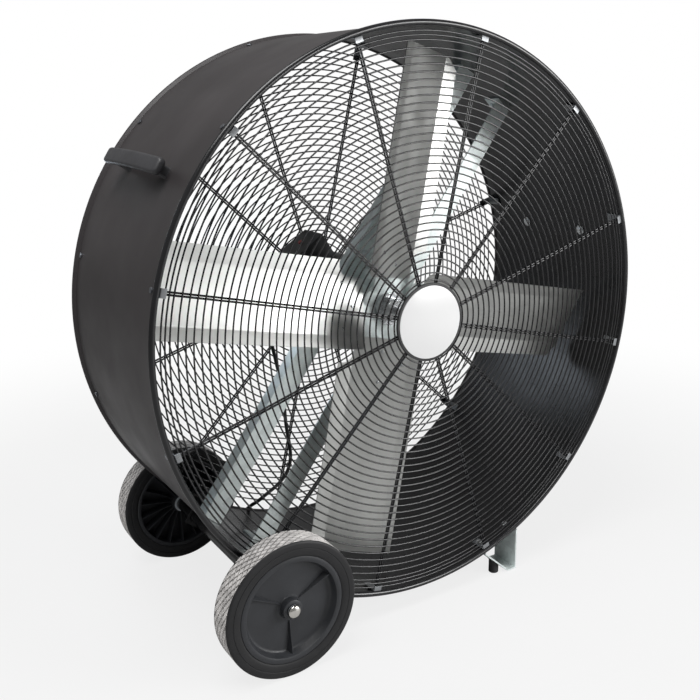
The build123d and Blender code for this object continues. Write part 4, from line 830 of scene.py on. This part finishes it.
class DRUMFAN_OT_badge(Operator):
    """Turns the plain round badge and the black dish that it sits in"""

    bl_idname = "drumfan.badge"
    bl_label = "Badge"

    def execute(self, context):
        back = BADGE_BACK
        radius = BADGE_RADIUS
        face = Form()
        face.revolve([
            (DISC_MIDDLE, back), (radius, back), (radius, back - 0.0012),
            (radius - 0.0004, back - 0.0018), (radius - 0.0012, back - 0.0020),
            (DISC_MIDDLE, back - 0.0022)], BADGE_STEPS)
        face.piece("badge_face", "badge", ["badge"], 40.0)
        rim = DISH_RADIUS
        dish = Form()
        dish.revolve([
            (DISC_MIDDLE, DISH_BACK), (rim - 0.0008, DISH_BACK), (rim, DISH_BACK - 0.0008),
            (rim, back - 0.0012), (rim - 0.0006, back - 0.0019),
            (radius + 0.0012, back - 0.0021), (radius + 0.0002, back - 0.0012),
            (radius + 0.0002, back + 0.0001), (DISC_MIDDLE, back + 0.0001)], BADGE_STEPS)
        dish.piece("badge_dish", "bakelite", ["badge_rim"], 40.0)
        return {"FINISHED"}


def clip(form, degrees):
    """One bent strap: a leg along the wall and a short tab over the outermost ring."""
    outer = CLIP_BACK_RADIUS
    low = outer - CLIP_SHEET
    front = CLIP_FRONT - CLIP_SHEET
    outline = [
        (front + CLIP_LENGTH, outer), (front + 0.0030, outer), (front + 0.0009, outer - 0.0009),
        (front, outer - 0.0030), (front, outer - CLIP_REACH), (CLIP_FRONT, outer - CLIP_REACH),
        (CLIP_FRONT, low - 0.0012), (CLIP_FRONT + 0.0004, low - 0.0004),
        (CLIP_FRONT + 0.0012, low), (front + CLIP_LENGTH, low),
    ]
    frame = wall_frame(0.0, degrees)
    form.loft([[frame @ Vector((y, side * CLIP_WIDTH / 2, radius)) for y, radius in outline]
               for side in (-1, 1)])


class DRUMFAN_OT_clips(Operator):
    """Bends the front guard's clips, and finishes the rear ones and all their screws"""

    bl_idname = "drumfan.clips"
    bl_label = "Guard clips"

    def execute(self, context):
        straps = Form()
        for i in range(SPOKE_COUNT):
            clip(straps, SPOKE_PHASE + i * 360 / SPOKE_COUNT)
        made = straps.piece("front_clips", "strap", ["front_guard_clips"])
        round_edges(made, THIN_ROUNDING)
        return dress_all(
            ("strap", BOLT_ROUNDING, "rear_guard_clips"),
            ("dulled", CAST_ROUNDING, "front_clip_screws", "rear_clip_screws"))


class DRUMFAN_OT_rotor(Operator):
    """Finishes the blades, their spider, rivets, hub and shaft"""

    bl_idname = "drumfan.rotor"
    bl_label = "Rotor"

    def execute(self, context):
        for number in range(1, 5):
            dress(f"fan_blade_{number}", "blade", smooth_below=BLADE_FOLD_ANGLE)
        return dress_all(
            ("zinc", None, "fan_spider"),
            ("plated", THIN_ROUNDING, "blade_rivets"),
            ("plated", HUB_ROUNDING, "fan_hub"),
            ("steel", BOLT_ROUNDING, "hub_set_screws"),
            ("steel", SHAFT_ROUNDING, "motor_shaft"),
            ("lamination", 0.0, "rotor_core"))


class DRUMFAN_OT_struts(Operator):
    """Finishes the angle struts, the motor plate and their bolts"""

    bl_idname = "drumfan.struts"
    bl_label = "Struts"

    def execute(self, context):
        return dress_all(
            ("zinc", None, "upper_strut", "lower_strut", "motor_plate"),
            ("plated", BOLT_ROUNDING, "strut_bolts", "motor_plate_bolts"))


class DRUMFAN_OT_motor(Operator):
    """Finishes the motor and what is inside it"""

    bl_idname = "drumfan.motor"
    bl_label = "Motor"

    def execute(self, context):
        return dress_all(
            ("enamel", CAST_ROUNDING, "motor_front_bell", "motor_rear_bell", "motor_shell"),
            ("steel", 0.0, "motor_bearings"),
            ("plated", BOLT_ROUNDING, "motor_through_bolts"),
            ("lamination", 0.0, "stator_core"),
            ("copper", 0.0, "stator_windings"))


class DRUMFAN_OT_terminal_box(Operator):
    """Finishes the terminal box, its switch, knob, button, capacitor and gland"""

    bl_idname = "drumfan.terminal_box"
    bl_label = "Terminal box"

    def execute(self, context):
        return dress_all(
            ("enamel", None, "terminal_box"),
            ("enamel", CAST_ROUNDING, "terminal_box_cover"),
            ("bakelite", CAN_ROUNDING, "capacitor"),
            ("bakelite", None, "speed_switch", "speed_knob"),
            ("red", None, "reset_button"),
            ("bakelite", HUB_ROUNDING, "cord_gland"))


def tyre_outline():
    """The tyre's section without its tread blocks, as (radius, distance outward) points."""
    shoulder = TREAD_HALF_WIDTH
    half = TYRE_HALF_WIDTH
    side = [
        (TYRE_RADIUS - sizes().tread_depth, shoulder), (TYRE_RADIUS - 0.0003, shoulder + 0.0004),
        (TYRE_RADIUS - 0.0003, shoulder + 0.0014), (TYRE_RADIUS - 0.0011, shoulder + 0.0025),
        (TYRE_RADIUS - 0.0031, half - 0.0003), (TYRE_RADIUS - 0.0055, half),
        (0.1150, half), (0.1143, half - 0.0007), (0.1136, half - 0.0007), (0.1129, half),
        (0.1035, half), (0.1015, half - 0.0010), (TYRE_INNER, half - 0.0016),
    ]
    return side + [(radius, -y) for radius, y in reversed(side)]


def tread_block(form, centre, angle, across, half_length, half_width):
    """One diamond block, cut off square where it meets the tyre's shoulder."""
    half_length -= BLOCK_GROOVE * GROOVE_ALONG
    half_width -= BLOCK_GROOVE
    outer = diamond(across, half_length, half_width, TREAD_HALF_WIDTH)
    inner = diamond(across, half_length + BLOCK_SLOPE * SLOPE_ALONG, half_width + BLOCK_SLOPE,
                    TREAD_HALF_WIDTH + BLOCK_SLOPE)
    count = len(outer)
    if count < 3 or count != len(inner):
        return
    corners = []
    base = TYRE_RADIUS - sizes().tread_depth - BLOCK_SINK
    for radius, outline in ((base, inner), (TYRE_RADIUS, outer)):
        for length, width in outline:
            turn = angle + math.degrees(length / TYRE_RADIUS)
            corners.append(polar(radius, turn, width, centre))
    faces = [(i, (i + 1) % count, count + (i + 1) % count, count + i) for i in range(count)]
    faces.append(tuple(range(count, 2 * count)))
    form.add(corners, faces)


def diamond(across, half_length, half_width, limit):
    """A diamond's corners as (length, width), cut by the tread's edges."""
    corners = [(half_length, across), (0.0, across + half_width),
               (-half_length, across), (0.0, across - half_width)]
    for side in (1, -1):
        kept = []
        for i, (length, width) in enumerate(corners):
            last_length, last_width = corners[i - 1]
            inside = side * width <= limit
            if inside != (side * last_width <= limit):
                share = (side * limit - last_width) / (width - last_width)
                kept.append((last_length + (length - last_length) * share, side * limit))
            if inside:
                kept.append((length, width))
        corners = kept
    return corners


def tyre(name, centre):
    """A tyre with two crossing sets of grooves, which leave diamond blocks."""
    body = f"{name}_wheel"
    carcass = Form()
    carcass.revolve(tyre_outline(), WHEEL_STEPS, centre)
    carcass.piece(f"{name}_tyre", "tyre", [f"{body}_tyre"], 40.0, body)
    form = Form()
    blocks = sizes().tread_blocks
    half_length = math.pi * TYRE_RADIUS / blocks
    half_width = TREAD_HALF_WIDTH / BLOCK_ROWS
    for row in range(-BLOCK_ROWS, BLOCK_ROWS + 1):
        for i in range(blocks):
            angle = 360 / blocks * (i + (row % 2) / 2)
            tread_block(form, centre, angle, row * half_width, half_length, half_width)
    form.piece(f"{name}_tread", "tread", (), 40.0, body)


def rim_outline():
    """The rim's section, as (radius, distance outward): hub, web, recess wall and lip."""
    return [
        (0.00641, 0.0235), (0.0115, 0.0235), (0.0118, 0.0252), (0.0165, 0.0252),
        (0.0185, 0.0240), (0.0196, 0.0120), (0.0215, 0.0098), (0.0240, 0.0092),
        (0.0800, 0.0092), (0.0835, 0.0100), (0.0856, 0.0122), (0.0880, 0.0222),
        (0.0892, 0.0244), (0.0915, 0.0254), (0.0965, 0.0254), (0.0990, 0.0246),
        (0.1000, 0.0230), (0.1000, -0.0240), (0.0985, -0.0252), (0.0950, -0.0254),
        (0.0925, -0.0244), (0.0918, 0.0010), (0.0900, 0.0040), (0.0205, 0.0040),
        (0.0200, -0.0240), (0.0188, -0.0258), (0.00641, -0.0258),
    ]


def rim(name, centre, out):
    """A moulded rim: three gussets on the outer face and many thin ribs inside."""
    form = Form()
    form.revolve([(radius, out * y) for radius, y in rim_outline()], WHEEL_STEPS, centre)
    for degrees in OUTER_RIB_ANGLES:
        turn = degrees if out < 0 else 180 - degrees
        rib(form, wall_frame(0.0, turn, centre), out, OUTER_RIB_FOOT, OUTER_RIB)
    for i in range(INNER_RIBS):
        turn = 360 * i / INNER_RIBS + INNER_RIB_PHASE
        rib(form, wall_frame(0.0, turn, centre), out, INNER_RIB_FOOT, INNER_RIB)
    body = f"{name}_wheel"
    form.piece(f"{name}_rim", "rim", [f"{body}_rim"], 35.0, body)


def rib(form, frame, out, foot, stations):
    """A tapered rib on the web, by (radius, height of its tip, half width of its foot)."""
    sections = []
    for radius, tip, half in stations:
        corners = ((foot, -half), (foot, half), (tip, RIB_TIP), (tip, -RIB_TIP))
        sections.append([frame @ Vector((out * x, y, radius)) for x, y in corners])
    form.loft(sections)


class DRUMFAN_OT_wheels(Operator):
    """Moulds both rims and both tyres"""

    bl_idname = "drumfan.wheels"
    bl_label = "Wheels"

    def execute(self, context):
        tyre("front", FRONT_WHEEL)
        tyre("rear", REAR_WHEEL)
        rim("front", FRONT_WHEEL, -1)
        rim("rear", REAR_WHEEL, 1)
        return {"FINISHED"}


class DRUMFAN_OT_axle(Operator):
    """Finishes the axle, its tube, brackets and washers, and domes its caps"""

    bl_idname = "drumfan.axle"
    bl_label = "Axle"

    def execute(self, context):
        dress_all(
            ("steel", BOLT_ROUNDING, "axle_rod"),
            ("gloss", 0.0, "axle_tube"),
            ("enamel", None, "axle_brackets"),
            ("plated", BOLT_ROUNDING, "axle_bracket_bolts"))
        centre = Vector((FRONT_WHEEL.x, 0.0, FRONT_WHEEL.z))
        self.washers(centre)
        self.domes(centre)
        return {"FINISHED"}

    def washers(self, centre):
        """Wide zinc washers inside the wheels and small ones under the caps."""
        form = Form()
        for side in (-1, 1):
            for face, radius in WASHERS:
                near = side * face
                far = near + side * WASHER_SHEET
                inner = radius - WASHER_BEVEL
                bevel = side * WASHER_BEVEL
                form.revolve([
                    (AXLE_HOLE, near), (inner, near), (radius, near + bevel),
                    (radius, far - bevel), (inner, far), (AXLE_HOLE, far)], CAP_STEPS, centre)
        form.piece("axle_washer_rings", "washer", ["axle_washers"])

    def domes(self, centre):
        """Domed caps pushed over the rod's ends."""
        form = Form()
        low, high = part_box("axle_caps")
        for side, end in ((-1, low.y), (1, high.y)):
            start = end - side * CAP_DEPTH
            outline = [(DISC_MIDDLE, start), (DOME_RADIUS - 0.0002, start),
                       (DOME_RADIUS, start + side * 0.0005)]
            for i in range(DOME_STEPS + 1):
                turn = math.pi / 2 * i / DOME_STEPS
                rise = DOME_SHOULDER + DOME_RISE * math.sin(turn)
                outline.append((DOME_RADIUS * math.cos(turn), start + side * rise))
            outline[-1] = (DISC_MIDDLE, outline[-1][1])
            form.revolve(outline, CAP_STEPS, centre)
        form.piece("axle_domes", "cap", ["axle_caps"], 40.0)


class DRUMFAN_OT_feet(Operator):
    """Finishes the feet, their rubber bumpers and bolts"""

    bl_idname = "drumfan.feet"
    bl_label = "Feet"

    def execute(self, context):
        return dress_all(
            ("zinc", None, "front_foot_bracket", "rear_foot_bracket"),
            ("bumper", CAST_ROUNDING, "foot_pads"),
            ("plated", BOLT_ROUNDING, "foot_bolts"))


def grip_rise(along, tilt):
    """How far the grip's middle line stands off the wall at a place along the handle."""
    share = (along - GRIP_FRONT) / (GRIP_BACK - GRIP_FRONT)
    ends = GRIP_FRONT_RISE + (GRIP_BACK_RISE + tilt - GRIP_FRONT_RISE) * share
    return ends + GRIP_ARCH * math.sin(math.pi * share)


def handle(name, node, degrees, tilt):
    """An arched grip with rounded ends, on two legs set in from its ends."""
    frame = wall_frame(DRUM_RADIUS, degrees)
    form = Form()
    sections = []
    middle = (GRIP_FRONT + GRIP_BACK) / 2
    for i in range(GRIP_STATIONS + 1):
        turn = math.pi * i / GRIP_STATIONS
        along = middle - (GRIP_BACK - GRIP_FRONT) / 2 * math.cos(turn)
        share = min(1.0, (along - GRIP_FRONT) / GRIP_END, (GRIP_BACK - along) / GRIP_END)
        size = GRIP_END_SIZE + (1 - GRIP_END_SIZE) * math.sqrt(1.0 - (1.0 - share) ** 2)
        outline = rounded_rectangle(
            GRIP_HALF_THICKNESS * size, GRIP_HALF_WIDTH * size, GRIP_CORNER * size)
        rise = grip_rise(along, tilt)
        sections.append([frame @ Vector((along, y, rise + x)) for x, y in outline])
    form.loft(sections)
    for place in (-LEG_PLACE, LEG_PLACE):
        sections = []
        for height, half_long, half_wide in (*LEG_STATIONS, (grip_rise(place, tilt), *LEG_TOP)):
            outline = rounded_rectangle(half_long, half_wide, LEG_CORNER)
            sections.append([frame @ Vector((place + x, y, height)) for x, y in outline])
        form.loft(sections)
    form.piece(name, "handle", [node], 50.0)


class DRUMFAN_OT_handles(Operator):
    """Moulds both handles and finishes their bolts"""

    bl_idname = "drumfan.handles"
    bl_label = "Handles"

    def execute(self, context):
        handle("left_grip", "left_handle", LEFT_HANDLE_ANGLE, LEFT_GRIP_TILT)
        handle("right_grip", "right_handle", RIGHT_HANDLE_ANGLE, 0.0)
        return dress_all(("plated", BOLT_ROUNDING, "handle_bolts"))


def coil_points():
    """The coil's turns: in on the floor, up half a turn, and out again on top."""
    points = []
    total = 2 * COIL_HALF_TURNS + 1
    for k in range(total * COIL_POINTS_PER_HALF_TURN + 1):
        half_turns = k / COIL_POINTS_PER_HALF_TURN
        inward = min(half_turns, COIL_HALF_TURNS, total - half_turns)
        climb = min(1.0, max(0.0, half_turns - COIL_HALF_TURNS))
        radius = COIL_RADIUS - inward * COIL_STEP / 2
        turn = math.radians(-90 + 180 * half_turns)
        points.append((COIL_CENTRE[0] + radius * math.cos(turn),
                       COIL_CENTRE[1] + radius * math.sin(turn),
                       CORD_RADIUS + climb * COIL_LAYER_STEP))
    return points


def plug_frame():
    """The plug's frame: z along the way that the cord arrives, level with the floor."""
    last = Vector(CORD_TAIL[-1])
    way = last - Vector(CORD_TAIL[-2])
    return frame_of(last, (0.0, 0.0, 1.0), (way.x, way.y, 0.0))


def make_plug():
    """A moulded three-pin plug: ribbed neck, rounded body, flat blades, round earth pin."""
    frame = plug_frame()
    body = Form()
    sections = []
    for z, *section in PLUG_STATIONS:
        sections.append([frame @ Vector((x, y, z)) for x, y in rounded_rectangle(*section)])
    body.loft(sections)
    made = body.piece("plug_body", "cord", ["supply_plug"], 50.0)
    pins = Form()
    up, aside = PIN_PLACE
    for side in (-1, 1):
        blade = [(x + up, y + side * aside) for x, y in rounded_rectangle(*PIN_SECTION, 3)]
        pins.prism(frame, blade, PLUG_FACE, PIN_TIP)
    earth = [(x + EARTH_PLACE, y) for x, y in circle(EARTH_RADIUS, 16)]
    pins.prism(frame, earth, PLUG_FACE, EARTH_TIP)
    return [made, pins.piece("plug_pins", "steel")]


class DRUMFAN_OT_cord(Operator):
    """Lays the supply cord from the gland to its coil, with its plug and ties"""

    bl_idname = "drumfan.cord"
    bl_label = "Supply cord"

    def execute(self, context):
        start = cord_exit()
        points = [start] + CORD_ROUTE + coil_points() + CORD_TAIL
        curve = bpy.data.curves.new("supply_cord_line", "CURVE")
        curve.dimensions = "3D"
        spline = curve.splines.new("NURBS")
        spline.points.add(len(points) - 1)
        for control, point in zip(spline.points, points):
            control.co = (*point, 1.0)
        spline.order_u = 3
        spline.use_endpoint_u = True
        spline.resolution_u = 6
        curve.bevel_depth = CORD_RADIUS
        curve.bevel_resolution = 4
        curve.use_fill_caps = True
        made = linked("supply_cord_line", curve)
        put_on(made, "housing", "cord",
               ["supply_cord", "supply_cord_coil", "supply_cord_tail"])
        plug = make_plug()
        ties = cord_ties()
        return {"FINISHED"}


def cord_exit():
    """The middle of the gland's narrow end, where the cord comes out."""
    out, round_way = ways(GLAND_ANGLE)
    return AXIS + Vector((0.0, GLAND_BACK, 0.0)) + out * GLAND_OUT + round_way * GLAND_ACROSS


def cord_ties():
    """Black ties that hold the cord to the rear guard, and one round the coil."""
    form = Form()
    for i in TIED_STRETCHES:
        first, second = (Vector(point) for point in CORD_ROUTE[i:i + 2])
        frame = frame_of((first + second) / 2, (0.0, 1.0, 0.0), second - first)
        form.prism(frame, circle(CORD_RADIUS + TIE_SHEET, 20), -TIE_HALF_WIDTH, TIE_HALF_WIDTH)
        head = [(x + TIE_HEAD_OUT, y) for x, y in rounded_rectangle(*TIE_HEAD, 3)]
        form.prism(frame, head, -TIE_HEAD_HALF_LENGTH, TIE_HEAD_HALF_LENGTH)
    frame = frame_of(COIL_TIE_MIDDLE, (1.0, 0.0, 0.0), (0.0, 1.0, 0.0))
    outline = rounded_rectangle(*COIL_TIE)
    path = [frame @ Vector((x, y * COIL_TIE_SQUASH, 0.0)) for x, y in outline]
    form.tube(path + [path[0]], COIL_TIE_RADIUS)
    return form.piece("cord_ties", "bakelite")


# ---------------------------------------------------------------- stage


def lamp(name, place, target, size, power, colour):
    """A soft square lamp aimed at a point."""
    data = bpy.data.lights.new(name, "AREA")
    data.shape = "SQUARE"
    data.size = size
    data.energy = power
    data.color = colour
    made = linked(name, data)
    made.visible_camera = False
    aim(made, place, Vector(target) - Vector(place))


def floor_finish():
    """Pale floor that keeps the fan's shadow and fades to white where the camera sees it."""
    made = Finish("pale floor", (0.50, 0.50, 0.50), 0.75)
    made.tint(made.noise(3.0), (0.49, 0.49, 0.49), (0.52, 0.52, 0.52))
    tree = made.tree
    glow = add_node(tree, "ShaderNodeEmission", {"Color": (*WHITE, 1.0)})
    path = add_node(tree, "ShaderNodeLightPath", {})
    far = add_node(tree, "ShaderNodeVectorMath", {0: made.place}, operation="LENGTH")
    fade = add_node(tree, "ShaderNodeMapRange", {
        "Value": far.outputs["Value"], "From Min": FADE_START, "From Max": FADE_END,
        "To Min": FLOOR_GLOW, "To Max": 1.0}, interpolation_type="SMOOTHSTEP")
    share = add_node(tree, "ShaderNodeMath", {
        0: fade.outputs["Result"], 1: path.outputs["Is Camera Ray"]}, operation="MULTIPLY")
    mix = add_node(tree, "ShaderNodeMixShader", {
        "Fac": share.outputs[0], 1: made.shader.outputs["BSDF"], 2: glow.outputs["Emission"]})
    tree.links.new(mix.outputs["Shader"], tree.nodes["Material Output"].inputs["Surface"])
    return made.material


class DRUMFAN_OT_stage(Operator):
    """Sets the floor, the soft lamps, the white surroundings and the camera"""

    bl_idname = "drumfan.stage"
    bl_label = "Stage"

    def execute(self, context):
        scene = context.scene
        scene.view_settings.view_transform = "Standard"
        mesh = bpy.data.meshes.new("floor")
        ends = (-FLOOR_REACH, FLOOR_REACH)
        mesh.from_pydata([(x, y, 0.0) for y in ends for x in ends], [], [(0, 1, 3, 2)])
        floor = linked("floor", mesh)
        mesh.materials.append(floor_finish())
        self.surround(scene)
        for row in LAMPS:
            lamp(*row)
        data = bpy.data.cameras.new("camera")
        data.lens = CAMERA_LENS
        data.sensor_width = 36.0
        data.shift_x, data.shift_y = CAMERA_SHIFT
        data.clip_start = 0.05
        data.clip_end = 60.0
        scene.camera = linked("camera", data)
        aim(scene.camera, CAMERA_PLACE, CAMERA_WAY)
        return {"FINISHED"}

    def surround(self, scene):
        """White to the camera and through clear pieces, plain light for the rest."""
        world = bpy.data.worlds.new("studio")
        world.use_nodes = True
        tree = world.node_tree
        shown = tree.nodes["Background"]
        shown.inputs["Color"].default_value = (*WHITE, 1.0)
        shown.inputs["Strength"].default_value = 1.0
        light = add_node(
            tree, "ShaderNodeBackground", {"Color": (*WHITE, 1.0), "Strength": ROOM_LIGHT})
        path = add_node(tree, "ShaderNodeLightPath", {})
        seen = add_node(tree, "ShaderNodeMath", {
            0: path.outputs["Is Camera Ray"], 1: path.outputs["Is Transmission Ray"]},
            operation="MAXIMUM")
        mix = add_node(tree, "ShaderNodeMixShader", {
            "Fac": seen.outputs[0], 1: light.outputs["Background"],
            2: shown.outputs["Background"]})
        tree.links.new(mix.outputs["Shader"], tree.nodes["World Output"].inputs["Surface"])
        scene.world = world


# ---------------------------------------------------------------- panel and registration


BUILD_ORDER = (
    DRUMFAN_OT_stage,
    DRUMFAN_OT_cord,
    DRUMFAN_OT_drum,
    DRUMFAN_OT_front_guard,
    DRUMFAN_OT_rear_guard,
    DRUMFAN_OT_badge,
    DRUMFAN_OT_clips,
    DRUMFAN_OT_rotor,
    DRUMFAN_OT_struts,
    DRUMFAN_OT_motor,
    DRUMFAN_OT_terminal_box,
    DRUMFAN_OT_wheels,
    DRUMFAN_OT_axle,
    DRUMFAN_OT_feet,
    DRUMFAN_OT_handles,
)


class DRUMFAN_PT_build(Panel):
    """Lists the fan's pieces, sizes and colours"""

    bl_idname = "DRUMFAN_PT_build"
    bl_label = "Drum Fan"
    bl_space_type = "VIEW_3D"
    bl_region_type = "UI"
    bl_category = "Drum Fan"

    def draw(self, context):
        layout = self.layout
        settings = context.scene.drum_fan
        for group in (settings.sizes, settings.colours):
            column = layout.column(align=True)
            for name in group.__annotations__:
                column.prop(group, name)
        column = layout.column(align=True)
        for operator in BUILD_ORDER:
            column.operator(operator.bl_idname)


CLASSES = (
    DRUMFAN_PG_sizes, DRUMFAN_PG_colours, DRUMFAN_PG_settings, *BUILD_ORDER, DRUMFAN_PT_build)


def register():
    """Registers the settings, the operators and the panel."""
    for one in CLASSES:
        bpy.utils.register_class(one)
    bpy.types.Scene.drum_fan = PointerProperty(type=DRUMFAN_PG_settings)


def unregister():
    """Takes everything out again."""
    del bpy.types.Scene.drum_fan
    for one in reversed(CLASSES):
        bpy.utils.unregister_class(one)


def main():
    """Builds every piece in order."""
    register()
    for operator in BUILD_ORDER:
        area, name = operator.bl_idname.split(".")
        result = getattr(getattr(bpy.ops, area), name)()
        if result != {"FINISHED"}:
            raise RuntimeError(f"{operator.bl_label} did not finish")


if __name__ == "__main__":
    main()
